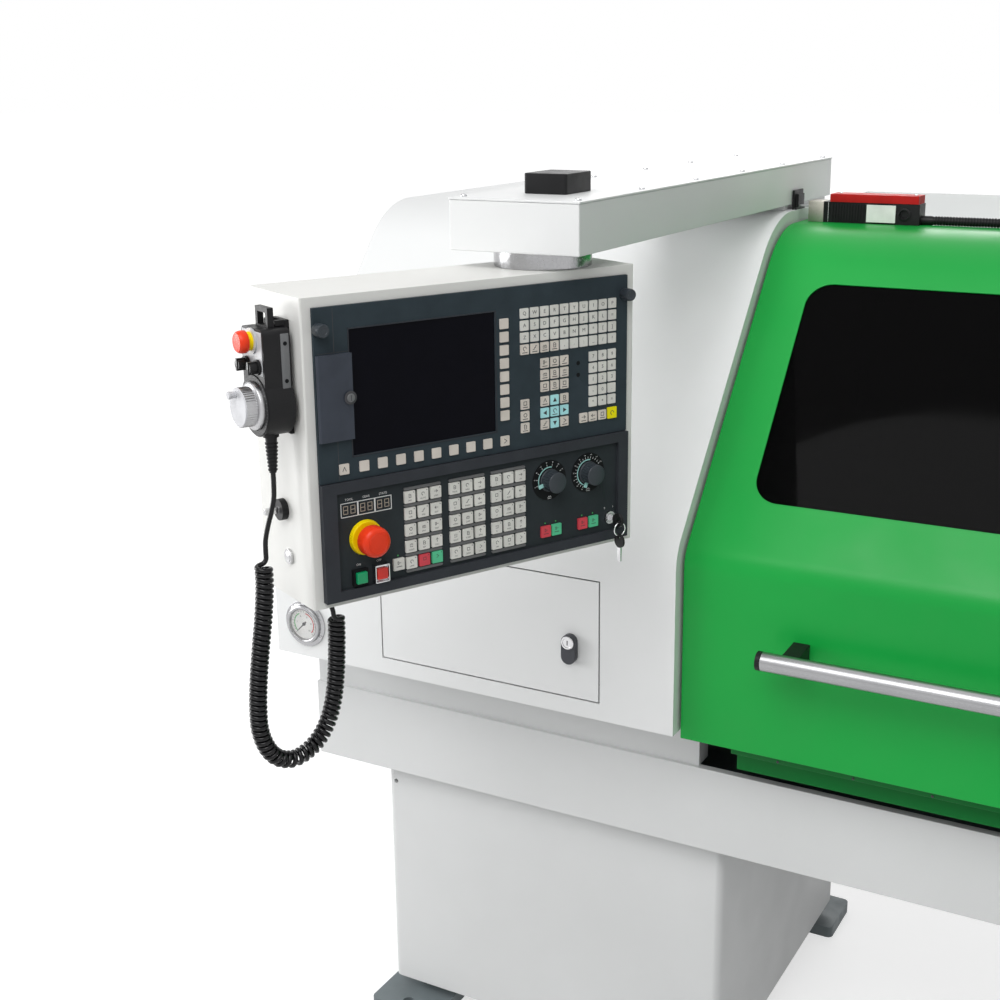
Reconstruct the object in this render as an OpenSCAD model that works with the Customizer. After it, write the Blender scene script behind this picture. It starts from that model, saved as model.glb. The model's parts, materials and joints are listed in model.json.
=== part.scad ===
// Flat-bed turning lathe with numerical control, in millimetres.
// +Z is up, +X runs from headstock to tailstock, the operator stands at -Y.
// The origin is the middle of the anchor hole pattern, on the floor.

/* [Guards] */
// Length over both end guards
machine_len = 2800; // [2760:5:2900]
// Length of the fixed cover over the headstock
cover_len = 803; // [790:1:815]
// Distance from the spindle plane to the front of the cover
cover_reach = 500; // [490:1:515]
// Height of the lower edge of the cover
cover_z = 800; // [790:1:810]
// Height of the upright part of the cover
knee_h = 312; // [295:1:325]
// Lean of the sloping part from upright, in degrees
slope = 39.7; // [38:0.1:41]
// Height of the cover from its lower edge to its roof
cover_h = 804; // [795:1:830]
// Radius of the bend at the knee
knee_r = 80; // [60:1:95]
// Radius of the bend at the roof
roof_r = 180; // [160:1:190]
// Distance from the spindle plane to the rear wall
rear_reach = 480; // [478:1:500]
// Thickness of the guard sheets
sheet = 3; // [2:0.5:3.5]
// How far the right cover is set back behind the left one
right_set = 60; // [56:1:66]

/* [Sliding door] */
// Width of the door
door_w = 1050; // [1030:1:1054]
// How far the door skin is set back behind the cover
door_set = 20; // [17:0.5:22]
// Gap between the cover and the door
door_gap = 5; // [4:0.5:8]
// Margin beside the window
window_side = 82; // [75:1:95]
// Distance up the slope from the knee to the window
window_low = 110; // [105:1:120]
// Height of the window along the slope
window_h = 405; // [390:1:420]
// Corner radius of the window
window_r = 42; // [30:1:55]
// Overlap of the pane behind the skin
pane_lap = 19; // [14:1:20]
// Thickness of the pane
pane_t = 5; // [4:0.5:6]
// Diameter of the handle tube
handle_d = 30; // [25:1:34]
// Distance of the tube axis from the door skin
handle_off = 60; // [52:1:66]
// Height of the tube above the lower edge of the cover
handle_z = 178; // [160:1:200]
// Distance from the side of the door to the end of the tube
handle_side = 156; // [130:1:165]

/* [Access panel] */
// Width of the access panel
access_w = 430; // [400:1:440]
// Height of the access panel
access_h = 211; // [195:1:215]
// Left edge of the panel from the left end of the cover
access_x = 238; // [225:1:250]
// Lower edge of the panel above the lower edge of the cover
access_z = 32; // [28:1:40]
// Gap round the panel
access_gap = 2.5; // [2.5:0.5:3.5]

/* [Pendant] */
// Width of the two operating panels
panel_w = 483; // [480:1:486]
// Height of the display panel
upper_h = 220; // [218:1:224]
// Height of the control panel
lower_h = 155; // [153:1:160]
// Thickness of the operating panels
panel_t = 4; // [3:0.5:5]
// Width of the housing beside the panels
side_band = 14; // [12:0.5:16]
// Height of the housing above the panels
top_band = 13; // [11:0.5:16]
// Height of the housing below the panels
bottom_band = 8; // [6:0.5:10]
// Depth of the pendant from the panel fronts
pendant_d = 148; // [146:1:155]
// Height of the line between the two panels
panel_z = 1356; // [1350:1:1358]
// Turn of the pendant from facing the operator
pendant_yaw = 63.7; // [50:0.1:80]
// Swivel axis from the left end of the panels
swivel_u = 397; // [390:1:402]
// Swivel axis behind the panel fronts
swivel_back = 80; // [78:1:82]
// Diameter of the swivel ring
swivel_d = 136; // [125:1:138]

/* [Pendant arm] */
// Swivel axis from the left end of the machine
arm_x = 694; // [690:1:698]
// Swivel axis in front of the cover
arm_reach = 236; // [230:1:245]
// Width of the arm
arm_w = 197; // [190:1:202]
// Height of the arm with its lid
arm_h = 71; // [66:1:76]
// Height of the foot between roof and arm
arm_foot = 9; // [8:0.5:12]
// Overhang of the arm in front of the swivel axis
arm_nose = 84; // [78:1:90]

/* [Machine base] */
// Height of the foot plates
foot_h = 25; // [20:1:30]
// Diameter of the anchor holes
anchor_d = 22; // [18:1:24]
// Half distance between the anchor holes across the machine
anchor_y = 380; // [375:1:385]
// Diameter of the jack screws
jack_d = 24; // [20:1:27]
// Length of a pedestal
ped_len = 705; // [690:1:712]
// Width of a pedestal
ped_w = 700; // [690:1:708]
// Free height under a pedestal
ped_z = 55; // [50:1:60]
// Depth of the chip tray
tray_h = 153; // [145:1:158]
// Width of the chip tray
tray_w = 776; // [770:1:790]
// Height of the skirt between tray and cover
skirt_h = 105; // [100:1:110]

/* [Working parts] */
// Width of the bed
bed_w = 380; // [370:1:384]
// Height of the bed top above the floor
bed_top = 870; // [866:1:874]
// Height of the slide ways
way_h = 16; // [14:1:18]
// Height of the spindle axis above the bed top
swing = 260; // [258:1:270]
// Diameter of the spindle in its bearings
spindle_d = 130; // [120:1:140]
// Diameter of the chuck
chuck_d = 250; // [230:1:256]
// Running clearance of slides and bores
run = 0.3; // [0.3:0.05:0.5]
// Radius of the turret disc
turret_r = 100; // [92:1:102]
// Diameter of the ball screw
screw_d = 40; // [36:1:42]
// Diameter of the tailstock quill
quill_d = 75; // [65:1:85]

/* [Hand unit] */
// Width of the hand unit
unit_w = 60; // [56:1:62]
// Height of the hand unit
unit_h = 140; // [136:1:142]
// Thickness of the hand unit
unit_t = 36; // [32:1:38]
// Diameter of the hand wheel
wheel_d = 60; // [54:1:62]
// Outer diameter of the curly cord
coil_d = 24; // [22:1:25]
// Diameter of the cord
cord_d = 6.5; // [6:0.5:7]

/* [Hidden] */
$fn = 64;
eps = 0.5;
arc_steps = 14;

x_left = -machine_len / 2;
x_right = machine_len / 2;
front_y = -cover_reach;
knee_z = cover_z + knee_h;
roof_z = cover_z + cover_h;
cover_x1 = x_left + cover_len;

// Bent guard section: points on the surface at inset t behind the cover skin
function knee_pt(t) = [front_y + t, knee_z - t * tan(slope / 2)];
function top_pt(t) = [
    front_y + (t + (roof_z - t - knee_z) * sin(slope)) / cos(slope),
    roof_z - t
];
function arc_pts(c, r, a0, a1) = [
    for (i = [0:arc_steps])
        let (a = a0 + (a1 - a0) * i / arc_steps)
        [c[0] - r * cos(a), c[1] + r * sin(a)]
];
function guard_line(t, z0, y_end) = concat(
    [[front_y + t, z0]],
    arc_pts(knee_pt(knee_r), knee_r - t, 0, slope),
    arc_pts(top_pt(roof_r), roof_r - t, slope, 90),
    [[y_end, roof_z - t]]
);
function reversed(list) = [for (i = [len(list) - 1:-1:0]) list[i]];
// Outer surface is t0 behind the cover skin, inner surface t1
function guard_sheet(t0, t1, z0, y_end) =
    concat(guard_line(t0, z0, y_end), reversed(guard_line(t1, z0, y_end)));
roof_start = top_pt(roof_r)[0];

// Door
door_x0 = cover_x1 + door_gap;
door_x1 = door_x0 + door_w;
door_mid = (door_x0 + door_x1) / 2;
door_z0 = cover_z - 10;
door_top_z = roof_z - door_set;
door_top_y = roof_start + 158;
door_flange = 25;
apron_h = 60;
apron_back = 33;
door_skin_y = front_y + door_set;
pane_y0 = sheet;
// Distance up the slope from the knee to the bend of the roof
bend_at = (top_pt(door_set)[1] - knee_pt(door_set)[1]) / cos(slope) - (roof_r - door_set) * tan((90 - slope) / 2);
win_h = min(window_h, bend_at - window_low - pane_lap - 0.5);
handle_x0 = door_x0 + handle_side;
handle_x1 = door_x1 - handle_side;
handle_y = door_skin_y - handle_off;
handle_h = cover_z + handle_z;
bracket_w = 26;
bracket_in = 29;
cap_t = 8;
door_travel = 900;

// Rails and fixed roof behind the door
rail_w = 25;
rail_y = roof_start + 108;
roof_plate_z = roof_z - right_set;
rail_top = door_top_z - sheet - 12;
roof_plate_y = roof_start + 60;
low_rail_y = front_y + door_set + door_flange + 6;
low_rail_t = 6;
low_rail_h = 42;
low_rail_z0 = door_z0 - low_rail_h + 28;
apron_x0 = door_x0 + 80;
apron_x1 = door_x1 - 80;
apron_y = door_skin_y + door_flange - sheet;
apron_fold_z = low_rail_z0 - 2 - sheet;
shoe_len = 60;
end_frame = 38;

// Base
tray_top = cover_z - skirt_h;
tray_z = tray_top - tray_h;
tray_y = tray_w / 2;
skirt_set = 8;
anchor_x = machine_len / 2 - 185;
ped_x0 = anchor_x + 50;
anchor_inner_x = ped_x0 - ped_len + 50;
ped_wall = 8;
ped_flange = 110;
foot_len = 150;
foot_w = 130;
foot_y = anchor_y - 40;
jack_y = anchor_y - 75;
nut_h = 12;

// Working parts
axis_z = bed_top + swing;
bed_x0 = x_left + 120;
bed_x1 = x_right - 160;
bed_z0 = tray_z + sheet;
way_x0 = cover_x1 - sheet + 2;
way_in = 120;
way_out = 180;
chutes = 6;
chute_pitch = (bed_x1 - way_x0 - 38) / chutes;
way_z = bed_top + way_h;
head_x0 = x_left + 130;
head_x1 = cover_x1 - 43;
head_w = 460;
head_h = 500;
nose_d = spindle_d + 50;
nose_x = cover_x1 + 12;
chuck_t = 100;
jaw_t = 45;
stator_d = spindle_d + 130;
stator_x0 = head_x0 + 160;
stator_x1 = head_x1 - 170;
cylinder_d = 170;

// Z drive
screw_y = -bed_w / 2 - 60;
screw_z = bed_top - 40;
screw_x0 = cover_x1 + 12;
screw_x1 = bed_x1 - 25;
bearing_t = 30;
bearing_w = 100;
bearing_h = 90;
z_motor_w = 116;
z_motor_len = 150;

// Carriage at rest
saddle_len = 460;
saddle_w = 500;
saddle_h = 54;
saddle_z = way_z + run;
saddle_top = saddle_z + saddle_h;
slide_w = 240;
slide_y0 = -120;
slide_y1 = 430;
slide_h = 60;
slide_z = saddle_top + run;
slide_top = slide_z + slide_h;
turret_y = 300;
turret_t = 70;
turret_x = -35;
turret_shaft = 60;
turret_box = 155;
turret_box_w = 200;
tool_count = 8;
tool_len = 24;
tool_w = 30;

// Tailstock at rest
tail_x0 = 560;
tail_len = 260;
tail_w = 340;
tail_base_h = 90;
quill_x0 = 430;
quill_len = 400;
centre_len = 50;

// Access panel and latch
panel_x0 = x_left + access_x;
panel_z0 = cover_z + access_z;
pivot_in = 6;
pivot_d = 4;
pivot_x = panel_x0 + pivot_in;
pivot_y = front_y + pivot_in;
ear_h = 12;
ear_w = 14;
ear_d = 10;
latch_side = 51;
latch_x = panel_x0 + access_w - latch_side;
latch_z = panel_z0 + access_h * 0.48;
latch_w = 26;
latch_drop = 26;
latch_t = 11;
latch_stem = 14;
cam_len = 58;
cam_w = 16;
cam_t = 4;

// Pressure gauge
gauge_x = x_left + 66.6;
gauge_z = cover_z + 65.7;
gauge_flange_d = 88;
gauge_d = 66;

// Arm and pendant
swivel_x = x_left + arm_x;
swivel_y = front_y - arm_reach;
arm_z = roof_z + arm_foot;
arm_y0 = swivel_y - arm_nose;
arm_y1 = 250;
arm_wall = 4;
weld = 0.1;
lid_t = 3;
neck_d = 58;
collar_d = 92;
collar_h = 10;
pend_z0 = panel_z - lower_h - bottom_band;
pend_z1 = panel_z + upper_h + top_band;
pend_r = 3;
pend_wall = 3;
hood_w = 66;
hood_len = 80;
hood_h = 28;

// Display panel fields, measured from the left end and the middle line
screen_u = 48;
screen_v = 31;
screen_w = 214;
screen_h = 159;
key_w = 13.4;
key_h = 1.8;
key_pitch = 16.33;
key_row = 16.1;
grid_u = 308.3;
grid_v = 29.1;
flap_w = 48;
flap_v = 54;
flap_h = 108;
flap_t = 6;
flap_pin = 3;

// Control panel fields
border_t = 5;
field_u0 = 20;
field_u1 = 17;
field_top = 14;
field_low = 13;
ckey = 16;
ckey_h = 3;
ckey_pitch = 19.6;
ckey_row = 22.2;
ckey_top = 35.5;
block_us = [125.5, 193.6, 259.5];
dial_us = [348.2, 414.6];
dial_v = 50.5;
dial_d = 56;
dial_t = 1;
knob_d = 29;
knob_h = 20;
knob_turns = [200, 250];
pair_us = [341, 359, 404.5, 423.5];
pair_v = 123;
stop_u = 60;
stop_v = 77.5;
collar_u_d = 47;
collar_u_h = 7;
mush_d = 40;
mush_h = 22;
mush_travel = 5;
push_us = [49, 78.5];
push_v = 128;
push_w = 15;
push_frame = 21;
push_frame_h = 6;
push_out = 4;
lock_u = 452.5;
lock_v = 122.6;
lock_d = 18;
lock_h = 4;

// Hand unit on the left side of the housing
unit_y = 52;
unit_z0 = 1412;
holder_t = 6;
unit_x1 = -side_band - holder_t;
unit_x0 = unit_x1 - unit_t;
unit_wheel_z = unit_z0 + 44;
unit_round_d = 78;
unit_knob_z = unit_z0 + 94;
unit_stop_z = unit_z0 + 124;
unit_knob_d = 15;
unit_knob_h = 14;
unit_knob_off = 16;
unit_stop_d = 28;
unit_stem = 16;
cord_x = (unit_x0 + unit_x1) / 2;
boss_z = unit_wheel_z - unit_round_d / 2 - 3;
relief_len = 46;

// Cord routes in the pendant frame, left to right, depth, height
lead_in = [
    [cord_x, unit_y, boss_z - relief_len], [cord_x, unit_y, boss_z - relief_len - 16],
    [-39, 52, 1335], [-43, 52, 1318], [-50, 51, 1302], [-57, 50, 1287], [-60, 49, 1272], [-60, 48, 1250]
];
coil_route = [
    [-60, 48, 1250], [-60, 48, 1225], [-64, 48, 1185], [-70, 48, 1145], [-76, 48, 1100],
    [-79, 48, 1060], [-78, 48, 1030], [-70, 48, 1004], [-56, 48, 986], [-36, 48, 978],
    [-16, 48, 982], [3, 48, 995], [18, 48, 1016], [28, 48, 1044], [34, 48, 1080],
    [37, 48, 1120], [38, 48, 1150], [38, 48, 1160]
];
gland_len = 3;
gland = [28, 45, pend_z0 - gland_len];
coil_end = coil_route[len(coil_route) - 1];
lead_out = [
    coil_end, coil_end + [0, 0, 6], 0.75 * coil_end + 0.25 * gland + [0, 0, 4],
    0.3 * coil_end + 0.7 * gland + [0, 0, -2], gland - [0, 0, 6], gland
];
cord_sides = 10;

// Helpers

// Turns a flat outline in Y and Z into a bar along X
module along_x(x0, x1) {
    translate([x0, 0, 0]) rotate([90, 0, 90]) linear_extrude(x1 - x0) children();
}
// Box between two corners
module box(a, b) {
    translate(a) cube(b - a);
}
module rounded_rect(w, h, r) {
    square([w - 2 * r, h], center = true);
    square([w, h - 2 * r], center = true);
    for (x = [-1, 1], y = [-1, 1])
        translate([x * (w / 2 - r), y * (h / 2 - r)]) circle(r);
}
// Round bar along X
module bar_x(x0, x1, d) {
    translate([x0, 0, 0]) rotate([0, 90, 0]) cylinder(h = x1 - x0, d = d);
}
// Bent sheet of the guards between x0 and x1
module bent_sheet(t0, t1, z0, y_end, x0, x1) {
    along_x(x0, x1) polygon(guard_sheet(t0, t1, z0, y_end));
}
// Flat plate with the whole outline of the guards
module guard_plate(t, y_end, z0, x0, x1) {
    along_x(x0, x1) polygon(concat(guard_line(t, z0, y_end), [[y_end, z0]]));
}
// Frame on the sloping part: X along the machine, Z up the slope, Y inwards
module on_slope(t) {
    translate([0, knee_pt(t)[0], knee_pt(t)[1]]) rotate([-slope, 0, 0]) children();
}
// Frame of the pendant: X from the left end of the panels, Y inwards, Z up from the floor
module in_pendant() {
    translate([swivel_x, swivel_y, 0]) rotate(pendant_yaw)
        translate([-swivel_u, -swivel_back, 0]) children();
}
// Place on the panel fronts, Z pointing to the operator
module on_panel(u, v) {
    in_pendant() translate([u, 0, panel_z + v]) rotate([90, 0, 0]) children();
}
// Place on the left side of the hand unit, Z pointing away from the pendant
module on_unit(y, z) {
    in_pendant() translate([unit_x0, y, z]) rotate([0, -90, 0]) children();
}

function unit_vec(v) = v / norm(v);
function route_dir(p, i) = unit_vec(p[min(i + 1, len(p) - 1)] - p[max(i - 1, 0)]);
// Ring of points round the route at point i, in the plane across the route
function route_ring(p, i, d) =
    let (t = route_dir(p, i), side = [0, 1, 0], up = unit_vec(cross(t, side)), across = cross(up, t))
    [for (k = [0:cord_sides - 1])
        p[i] + d / 2 * (cos(360 * k / cord_sides) * up + sin(360 * k / cord_sides) * across)];
module cord(p, d) {
    n = len(p);
    s = cord_sides;
    points = [for (i = [0:n - 1]) each route_ring(p, i, d)];
    walls = [for (i = [0:n - 2], k = [0:s - 1])
        [i * s + k, i * s + (k + 1) % s, (i + 1) * s + (k + 1) % s, (i + 1) * s + k]];
    caps = [[for (k = [s - 1:-1:0]) k], [for (k = [0:s - 1]) (n - 1) * s + k]];
    polyhedron(points, concat(walls, caps));
}

// Machine base

module foot_plates() {
    color("dimgray")
        for (x = [-anchor_x, -anchor_inner_x, anchor_inner_x, anchor_x], s = [-1, 1])
            difference() {
                translate([x, s * foot_y, 0]) linear_extrude(foot_h) rounded_rect(foot_len, foot_w, 12);
                translate([x, s * anchor_y, -eps]) cylinder(h = foot_h + 2 * eps, d = anchor_d);
            }
}

module jack_screws() {
    color("silver")
        for (x = [-anchor_x, -anchor_inner_x, anchor_inner_x, anchor_x], s = [-1, 1])
            translate([x, s * jack_y, foot_h]) {
                cylinder(h = ped_z - foot_h, d = jack_d);
                translate([0, 0, ped_z - foot_h - nut_h]) cylinder(h = nut_h, d = jack_d * 1.6, $fn = 6);
            }
}

// Hollow welded pedestal, open below, with a flange for the jack screws
module pedestal(side) {
    h = tray_z - ped_z;
    mid = side * (ped_x0 - ped_len / 2);
    difference() {
        translate([mid, 0, ped_z]) linear_extrude(h) rounded_rect(ped_len, ped_w, 14);
        translate([mid, 0, ped_z + 20])
            linear_extrude(h - 32) square([ped_len - 2 * ped_wall, ped_w - 2 * ped_wall], center = true);
        translate([mid, 0, ped_z - eps])
            linear_extrude(21) square([ped_len - 2 * ped_flange, ped_w - 2 * ped_flange], center = true);
        // Sling hole near the outer upper corner
        translate([side * (ped_x0 - 18), -ped_w / 2 - eps, tray_z - 46])
            rotate([-90, 0, 0]) cylinder(h = ped_wall + 2 * eps, d = 9);
        // Louvres in the outer end
        for (i = [0:7])
            translate([side * ped_x0, 0, ped_z + 150 + i * 26])
                cube([4 * ped_wall, 260, 8], center = true);
    }
}
module left_pedestal() {
    color("gainsboro") pedestal(-1);
}
module right_pedestal() {
    color("gainsboro") pedestal(1);
}

module chip_tray() {
    hem = 15;
    color("gainsboro") {
        difference() {
            box([x_left, -tray_y, tray_z], [x_right, tray_y, tray_top]);
            box([x_left + sheet, -tray_y + sheet, tray_z + sheet], [x_right - sheet, tray_y - sheet, tray_top - sheet]);
            box([x_left + hem, -tray_y + hem, tray_z + sheet], [x_right - hem, tray_y - hem, tray_top + eps]);
        }
        // Skirt that carries the left cover, set back behind the front edge of the tray
        skirt_y = -tray_y + skirt_set;
        difference() {
            box([x_left, skirt_y, tray_top], [cover_x1, tray_y, cover_z]);
            box([x_left + sheet, skirt_y + sheet, tray_top - eps], [cover_x1 + eps, tray_y - sheet, cover_z + eps]);
        }
        for (y = [skirt_y, tray_y - 40])
            box([cover_x1 - sheet, y, tray_top], [cover_x1, y + 40, cover_z]);
    }
}

module bed() {
    half = bed_w / 2;
    color("darkslategray") {
        difference() {
            box([bed_x0, -half, bed_z0], [bed_x1, half, bed_top]);
            // Chip chutes: windows between the ways over arched openings
            for (i = [0:chutes - 1])
                translate([way_x0 + 190 + i * chute_pitch, 0, bed_top - 160])
                    linear_extrude(160 + eps) rounded_rect(180, 2 * way_in - 60, 30);
            for (i = [0:chutes - 1])
                translate([way_x0 + 190 + i * chute_pitch, half + eps, bed_z0 + 140])
                    rotate([90, 0, 0]) linear_extrude(bed_w + 2 * eps) rounded_rect(200, 130, 40);
        }
        for (s = [-1, 1])
            box([way_x0, s > 0 ? way_in : -way_out, bed_top], [bed_x1, s > 0 ? way_out : -way_in, way_z]);
        // Bearing blocks of the ball screw
        for (x = [screw_x0, screw_x1 - bearing_t])
            difference() {
                box([x, screw_y - bearing_w / 2, screw_z - bearing_h / 2], [x + bearing_t, -half + eps, screw_z + bearing_h / 2]);
                translate([0, screw_y, screw_z]) bar_x(x - eps, x + bearing_t + eps, screw_d + 2 * run);
            }
    }
}

module headstock() {
    crown = 60;
    color("darkslategray")
        difference() {
            union() {
                box([head_x0, -head_w / 2, bed_top], [head_x1, head_w / 2, bed_top + head_h - crown]);
                box([head_x0, -head_w / 2 + crown, bed_top], [head_x1, head_w / 2 - crown, bed_top + head_h]);
                for (s = [-1, 1])
                    translate([0, s * (head_w / 2 - crown), bed_top + head_h - crown])
                        bar_x(head_x0, head_x1, 2 * crown);
                // Front bearing cap
                translate([0, 0, axis_z]) bar_x(head_x1, head_x1 + 8, nose_d + 60);
            }
            translate([0, 0, axis_z]) bar_x(head_x0 - eps, head_x1 + 10, spindle_d + 2 * run);
            translate([0, 0, axis_z]) bar_x(stator_x0, stator_x1, stator_d);
        }
}

module spindle_motor() {
    color("sienna")
        translate([0, 0, axis_z])
            difference() {
                bar_x(stator_x0, stator_x1, stator_d);
                bar_x(stator_x0 - eps, stator_x1 + eps, spindle_d + 2);
            }
}

// Guards

module left_cover() {
    lip = cover_reach - tray_y + skirt_set + sheet;
    lug_x0 = pivot_x - ear_w / 2;
    color("white") difference() {
        union() {
            bent_sheet(0, sheet, cover_z, rear_reach - sheet, x_left, cover_x1);
            guard_plate(0, rear_reach - sheet, cover_z, x_left, x_left + sheet);
            guard_plate(0, rear_reach - sheet, cover_z, cover_x1 - sheet, cover_x1);
            // Lower lip that lands on the skirt
            box([x_left, front_y, cover_z], [cover_x1, front_y + lip, cover_z + sheet]);
            // Pivot lugs of the access panel
            for (z = [panel_z0 - access_gap - ear_h, panel_z0 + access_h + access_gap])
                box([lug_x0, front_y + sheet - eps, z], [lug_x0 + ear_w, front_y + sheet + ear_d, z + ear_h]);
        }
        // Access opening
        box([panel_x0 - access_gap, front_y - eps, panel_z0 - access_gap],
            [panel_x0 + access_w + access_gap, front_y + sheet + eps, panel_z0 + access_h + access_gap]);
        for (z = [panel_z0 - access_gap - ear_h - eps, panel_z0 + access_h + access_gap - eps])
            translate([pivot_x, pivot_y, z]) cylinder(h = ear_h + 2 * eps, d = pivot_d + 2 * run);
        translate([gauge_x, front_y - eps, gauge_z]) rotate([-90, 0, 0]) cylinder(h = sheet + 2 * eps, d = gauge_d + 1);
        // Spindle nose, bed and ball screw pass the inner wall
        translate([0, 0, axis_z]) bar_x(cover_x1 - sheet - eps, cover_x1 + eps, nose_d + 24);
        box([cover_x1 - sheet - eps, -bed_w / 2 - 4, cover_z - eps], [cover_x1 + eps, bed_w / 2 + 4, way_z + 4]);
    }
}

module rear_guard() {
    color("white") difference() {
        union() {
            box([x_left, rear_reach - sheet, tray_top + sheet], [x_right, rear_reach, roof_z]);
            // Lower shelf on the tray
            box([x_left, tray_y - 12, tray_top], [x_right, rear_reach, tray_top + sheet]);
            // Fixed roof behind the door
            box([cover_x1, roof_plate_y, roof_plate_z - sheet], [x_right - sheet, rear_reach - sheet, roof_plate_z]);
        }
        // The skirt of the left cover stands on the same edge
        box([x_left - eps, tray_y - 20, tray_top - eps], [cover_x1 + 1, tray_y + 0.2, tray_top + 2 * sheet]);
        // Louvres
        for (i = [0:9], c = [0:2])
            translate([x_right - 420 + c * 130, rear_reach, tray_top + 160 + i * 24])
                cube([100, 4 * sheet, 7], center = true);
    }
}

module right_cover() {
    x_in = x_right - end_frame;
    color("white") {
        bent_sheet(right_set, right_set + sheet, cover_z, roof_plate_y, door_x1 - 28, x_in + sheet);
        bent_sheet(0, sheet, cover_z, rear_reach - sheet, x_in, x_right);
        bent_sheet(sheet, right_set + sheet, cover_z, roof_plate_y, x_in, x_in + sheet);
        box([x_in, roof_plate_y - eps, roof_plate_z], [x_in + sheet, rear_reach - sheet, roof_z - sheet + eps]);
        // End wall down to the tray, with the lower lip of the end frame
        difference() {
            union() {
                guard_plate(0, rear_reach - sheet, cover_z, x_right - sheet, x_right);
                box([x_right - sheet, -tray_y, tray_top + sheet], [x_right, rear_reach - sheet, cover_z + eps]);
                box([x_right - sheet, -tray_y, tray_top], [x_right, tray_y - 12.5, tray_top + sheet + eps]);
            }
            // The fixed roof ends at the inner face of this wall
            box([x_right - 2 * sheet, tray_y - 13, tray_top - eps], [x_right - sheet, tray_y, tray_top]);
        }
        box([x_in, front_y, cover_z], [x_right, front_y + 120, cover_z + sheet]);
    }
}

module door_rails() {
    color("silver") {
        // Upper rail on the fixed roof
        box([cover_x1, rail_y, roof_plate_z], [x_right - end_frame, rail_y + rail_w, rail_top]);
        // Lower guide bar between the left cover and the end frame
        box([cover_x1, low_rail_y, low_rail_z0], [x_right - end_frame, low_rail_y + low_rail_t, low_rail_z0 + low_rail_h]);
    }
}

// Door

module sliding_door() {
    color("limegreen") {
        difference() {
            union() {
                bent_sheet(door_set, door_set + sheet, door_z0, door_top_y, door_x0, door_x1);
                for (x = [door_x0, door_x1 - sheet])
                    bent_sheet(door_set + sheet, door_set + door_flange, door_z0, roof_start + 40, x, x + sheet);
                // Lower hem
                box([door_x0, door_skin_y, door_z0], [door_x1, door_skin_y + door_flange, door_z0 + sheet]);
                // Apron: down from the lower hem, back under the guide bar and down again
                box([apron_x0, apron_y, apron_fold_z], [apron_x1, apron_y + sheet, door_z0 + sheet]);
                box([apron_x0, apron_y, apron_fold_z], [apron_x1, apron_y + apron_back, apron_fold_z + sheet]);
                box([apron_x0, apron_y + apron_back - sheet, door_z0 - apron_h],
                    [apron_x1, apron_y + apron_back, apron_fold_z + sheet]);
                // Rear hem of the top
                box([door_x0, door_top_y - sheet, door_top_z - 26], [door_x1, door_top_y, door_top_z]);
            }
            on_slope(door_set)
                translate([door_mid, -eps, window_low + win_h / 2]) rotate([-90, 0, 0])
                    linear_extrude(door_flange) rounded_rect(door_w - 2 * window_side, win_h, window_r);
        }
        // Hanger shoes over the upper rail
        for (x = [door_x0 + 120, door_x1 - 120 - shoe_len])
            difference() {
                box([x, rail_y - 10, rail_top - 14], [x + shoe_len, rail_y + rail_w + 10, door_top_z - sheet]);
                box([x - eps, rail_y - run, rail_top - 15], [x + shoe_len + eps, rail_y + rail_w + run, rail_top + run]);
            }
        // Guide shoes in front of the lower bar
        for (x = [door_x0 + 60, door_x1 - 60 - shoe_len])
            box([x, door_skin_y + door_flange, door_z0], [x + shoe_len, low_rail_y - run, door_z0 + 22]);
    }
}

module door_window() {
    color([0.12, 0.12, 0.13])
        on_slope(door_set)
            translate([door_mid, pane_y0, window_low + win_h / 2]) rotate([-90, 0, 0])
                linear_extrude(pane_t)
                    rounded_rect(door_w - 2 * window_side + 2 * pane_lap, win_h + 2 * pane_lap, window_r);
}

module door_handle() {
    color("silver") translate([0, handle_y, handle_h])
        difference() {
            bar_x(handle_x0, handle_x1, handle_d);
            bar_x(handle_x0 - eps, handle_x1 + eps, handle_d - 5);
        }
}

module handle_brackets() {
    h = handle_d * 0.9;
    color("black") {
        for (x = [handle_x0 + bracket_in, handle_x1 - bracket_in - bracket_w])
            difference() {
                along_x(x, x + bracket_w)
                    polygon([[door_skin_y, handle_h + h * 0.58], [door_skin_y, handle_h - h / 2],
                        [handle_y, handle_h - h / 2], [handle_y, handle_h + h / 2]]);
                translate([0, handle_y, handle_h]) bar_x(x - eps, x + bracket_w + eps, handle_d);
            }
        for (x = [handle_x0 - cap_t, handle_x1])
            translate([0, handle_y, handle_h]) bar_x(x, x + cap_t, handle_d);
    }
}

switch_x0 = door_x0 + 16;
switch_len = 196;
switch_w = 40;
switch_h = 36;
switch_lid = 14;
switch_y = roof_start + 34;
tongue_z = roof_z + 5;

module interlock_switch() {
    color("black") {
        difference() {
            box([switch_x0, switch_y, door_top_z], [switch_x0 + switch_len, switch_y + switch_w, door_top_z + switch_h]);
            // Mouth for the tongue
            box([switch_x0 - eps, switch_y + 8, tongue_z - 3], [switch_x0 + 26, switch_y + switch_w - 8, tongue_z + 6]);
            translate([switch_x0 + switch_len - 26, switch_y - eps, door_top_z + switch_h / 2])
                rotate([-90, 0, 0]) cylinder(h = 6, d = 14);
        }
        // Lid
        translate([0, 0, door_top_z + switch_h])
            box([switch_x0 + 38, switch_y - 1, 0], [switch_x0 + switch_len - 2, switch_y + switch_w + 1, switch_lid]);
    }
}

module interlock_conduit() {
    d = 16;
    x0 = switch_x0 + switch_len;
    x1 = door_x1 - 70;
    color("black") {
        translate([0, switch_y + switch_w / 2, door_top_z + d / 2]) {
            bar_x(x0, x1, d);
            bar_x(x0, x0 + 22, d - 0.5);
        }
        // Elbow that enters the door top
        box([x1, switch_y + switch_w / 2 - 14, door_top_z], [x1 + 34, switch_y + switch_w / 2 + 14, door_top_z + 26]);
    }
}

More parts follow.
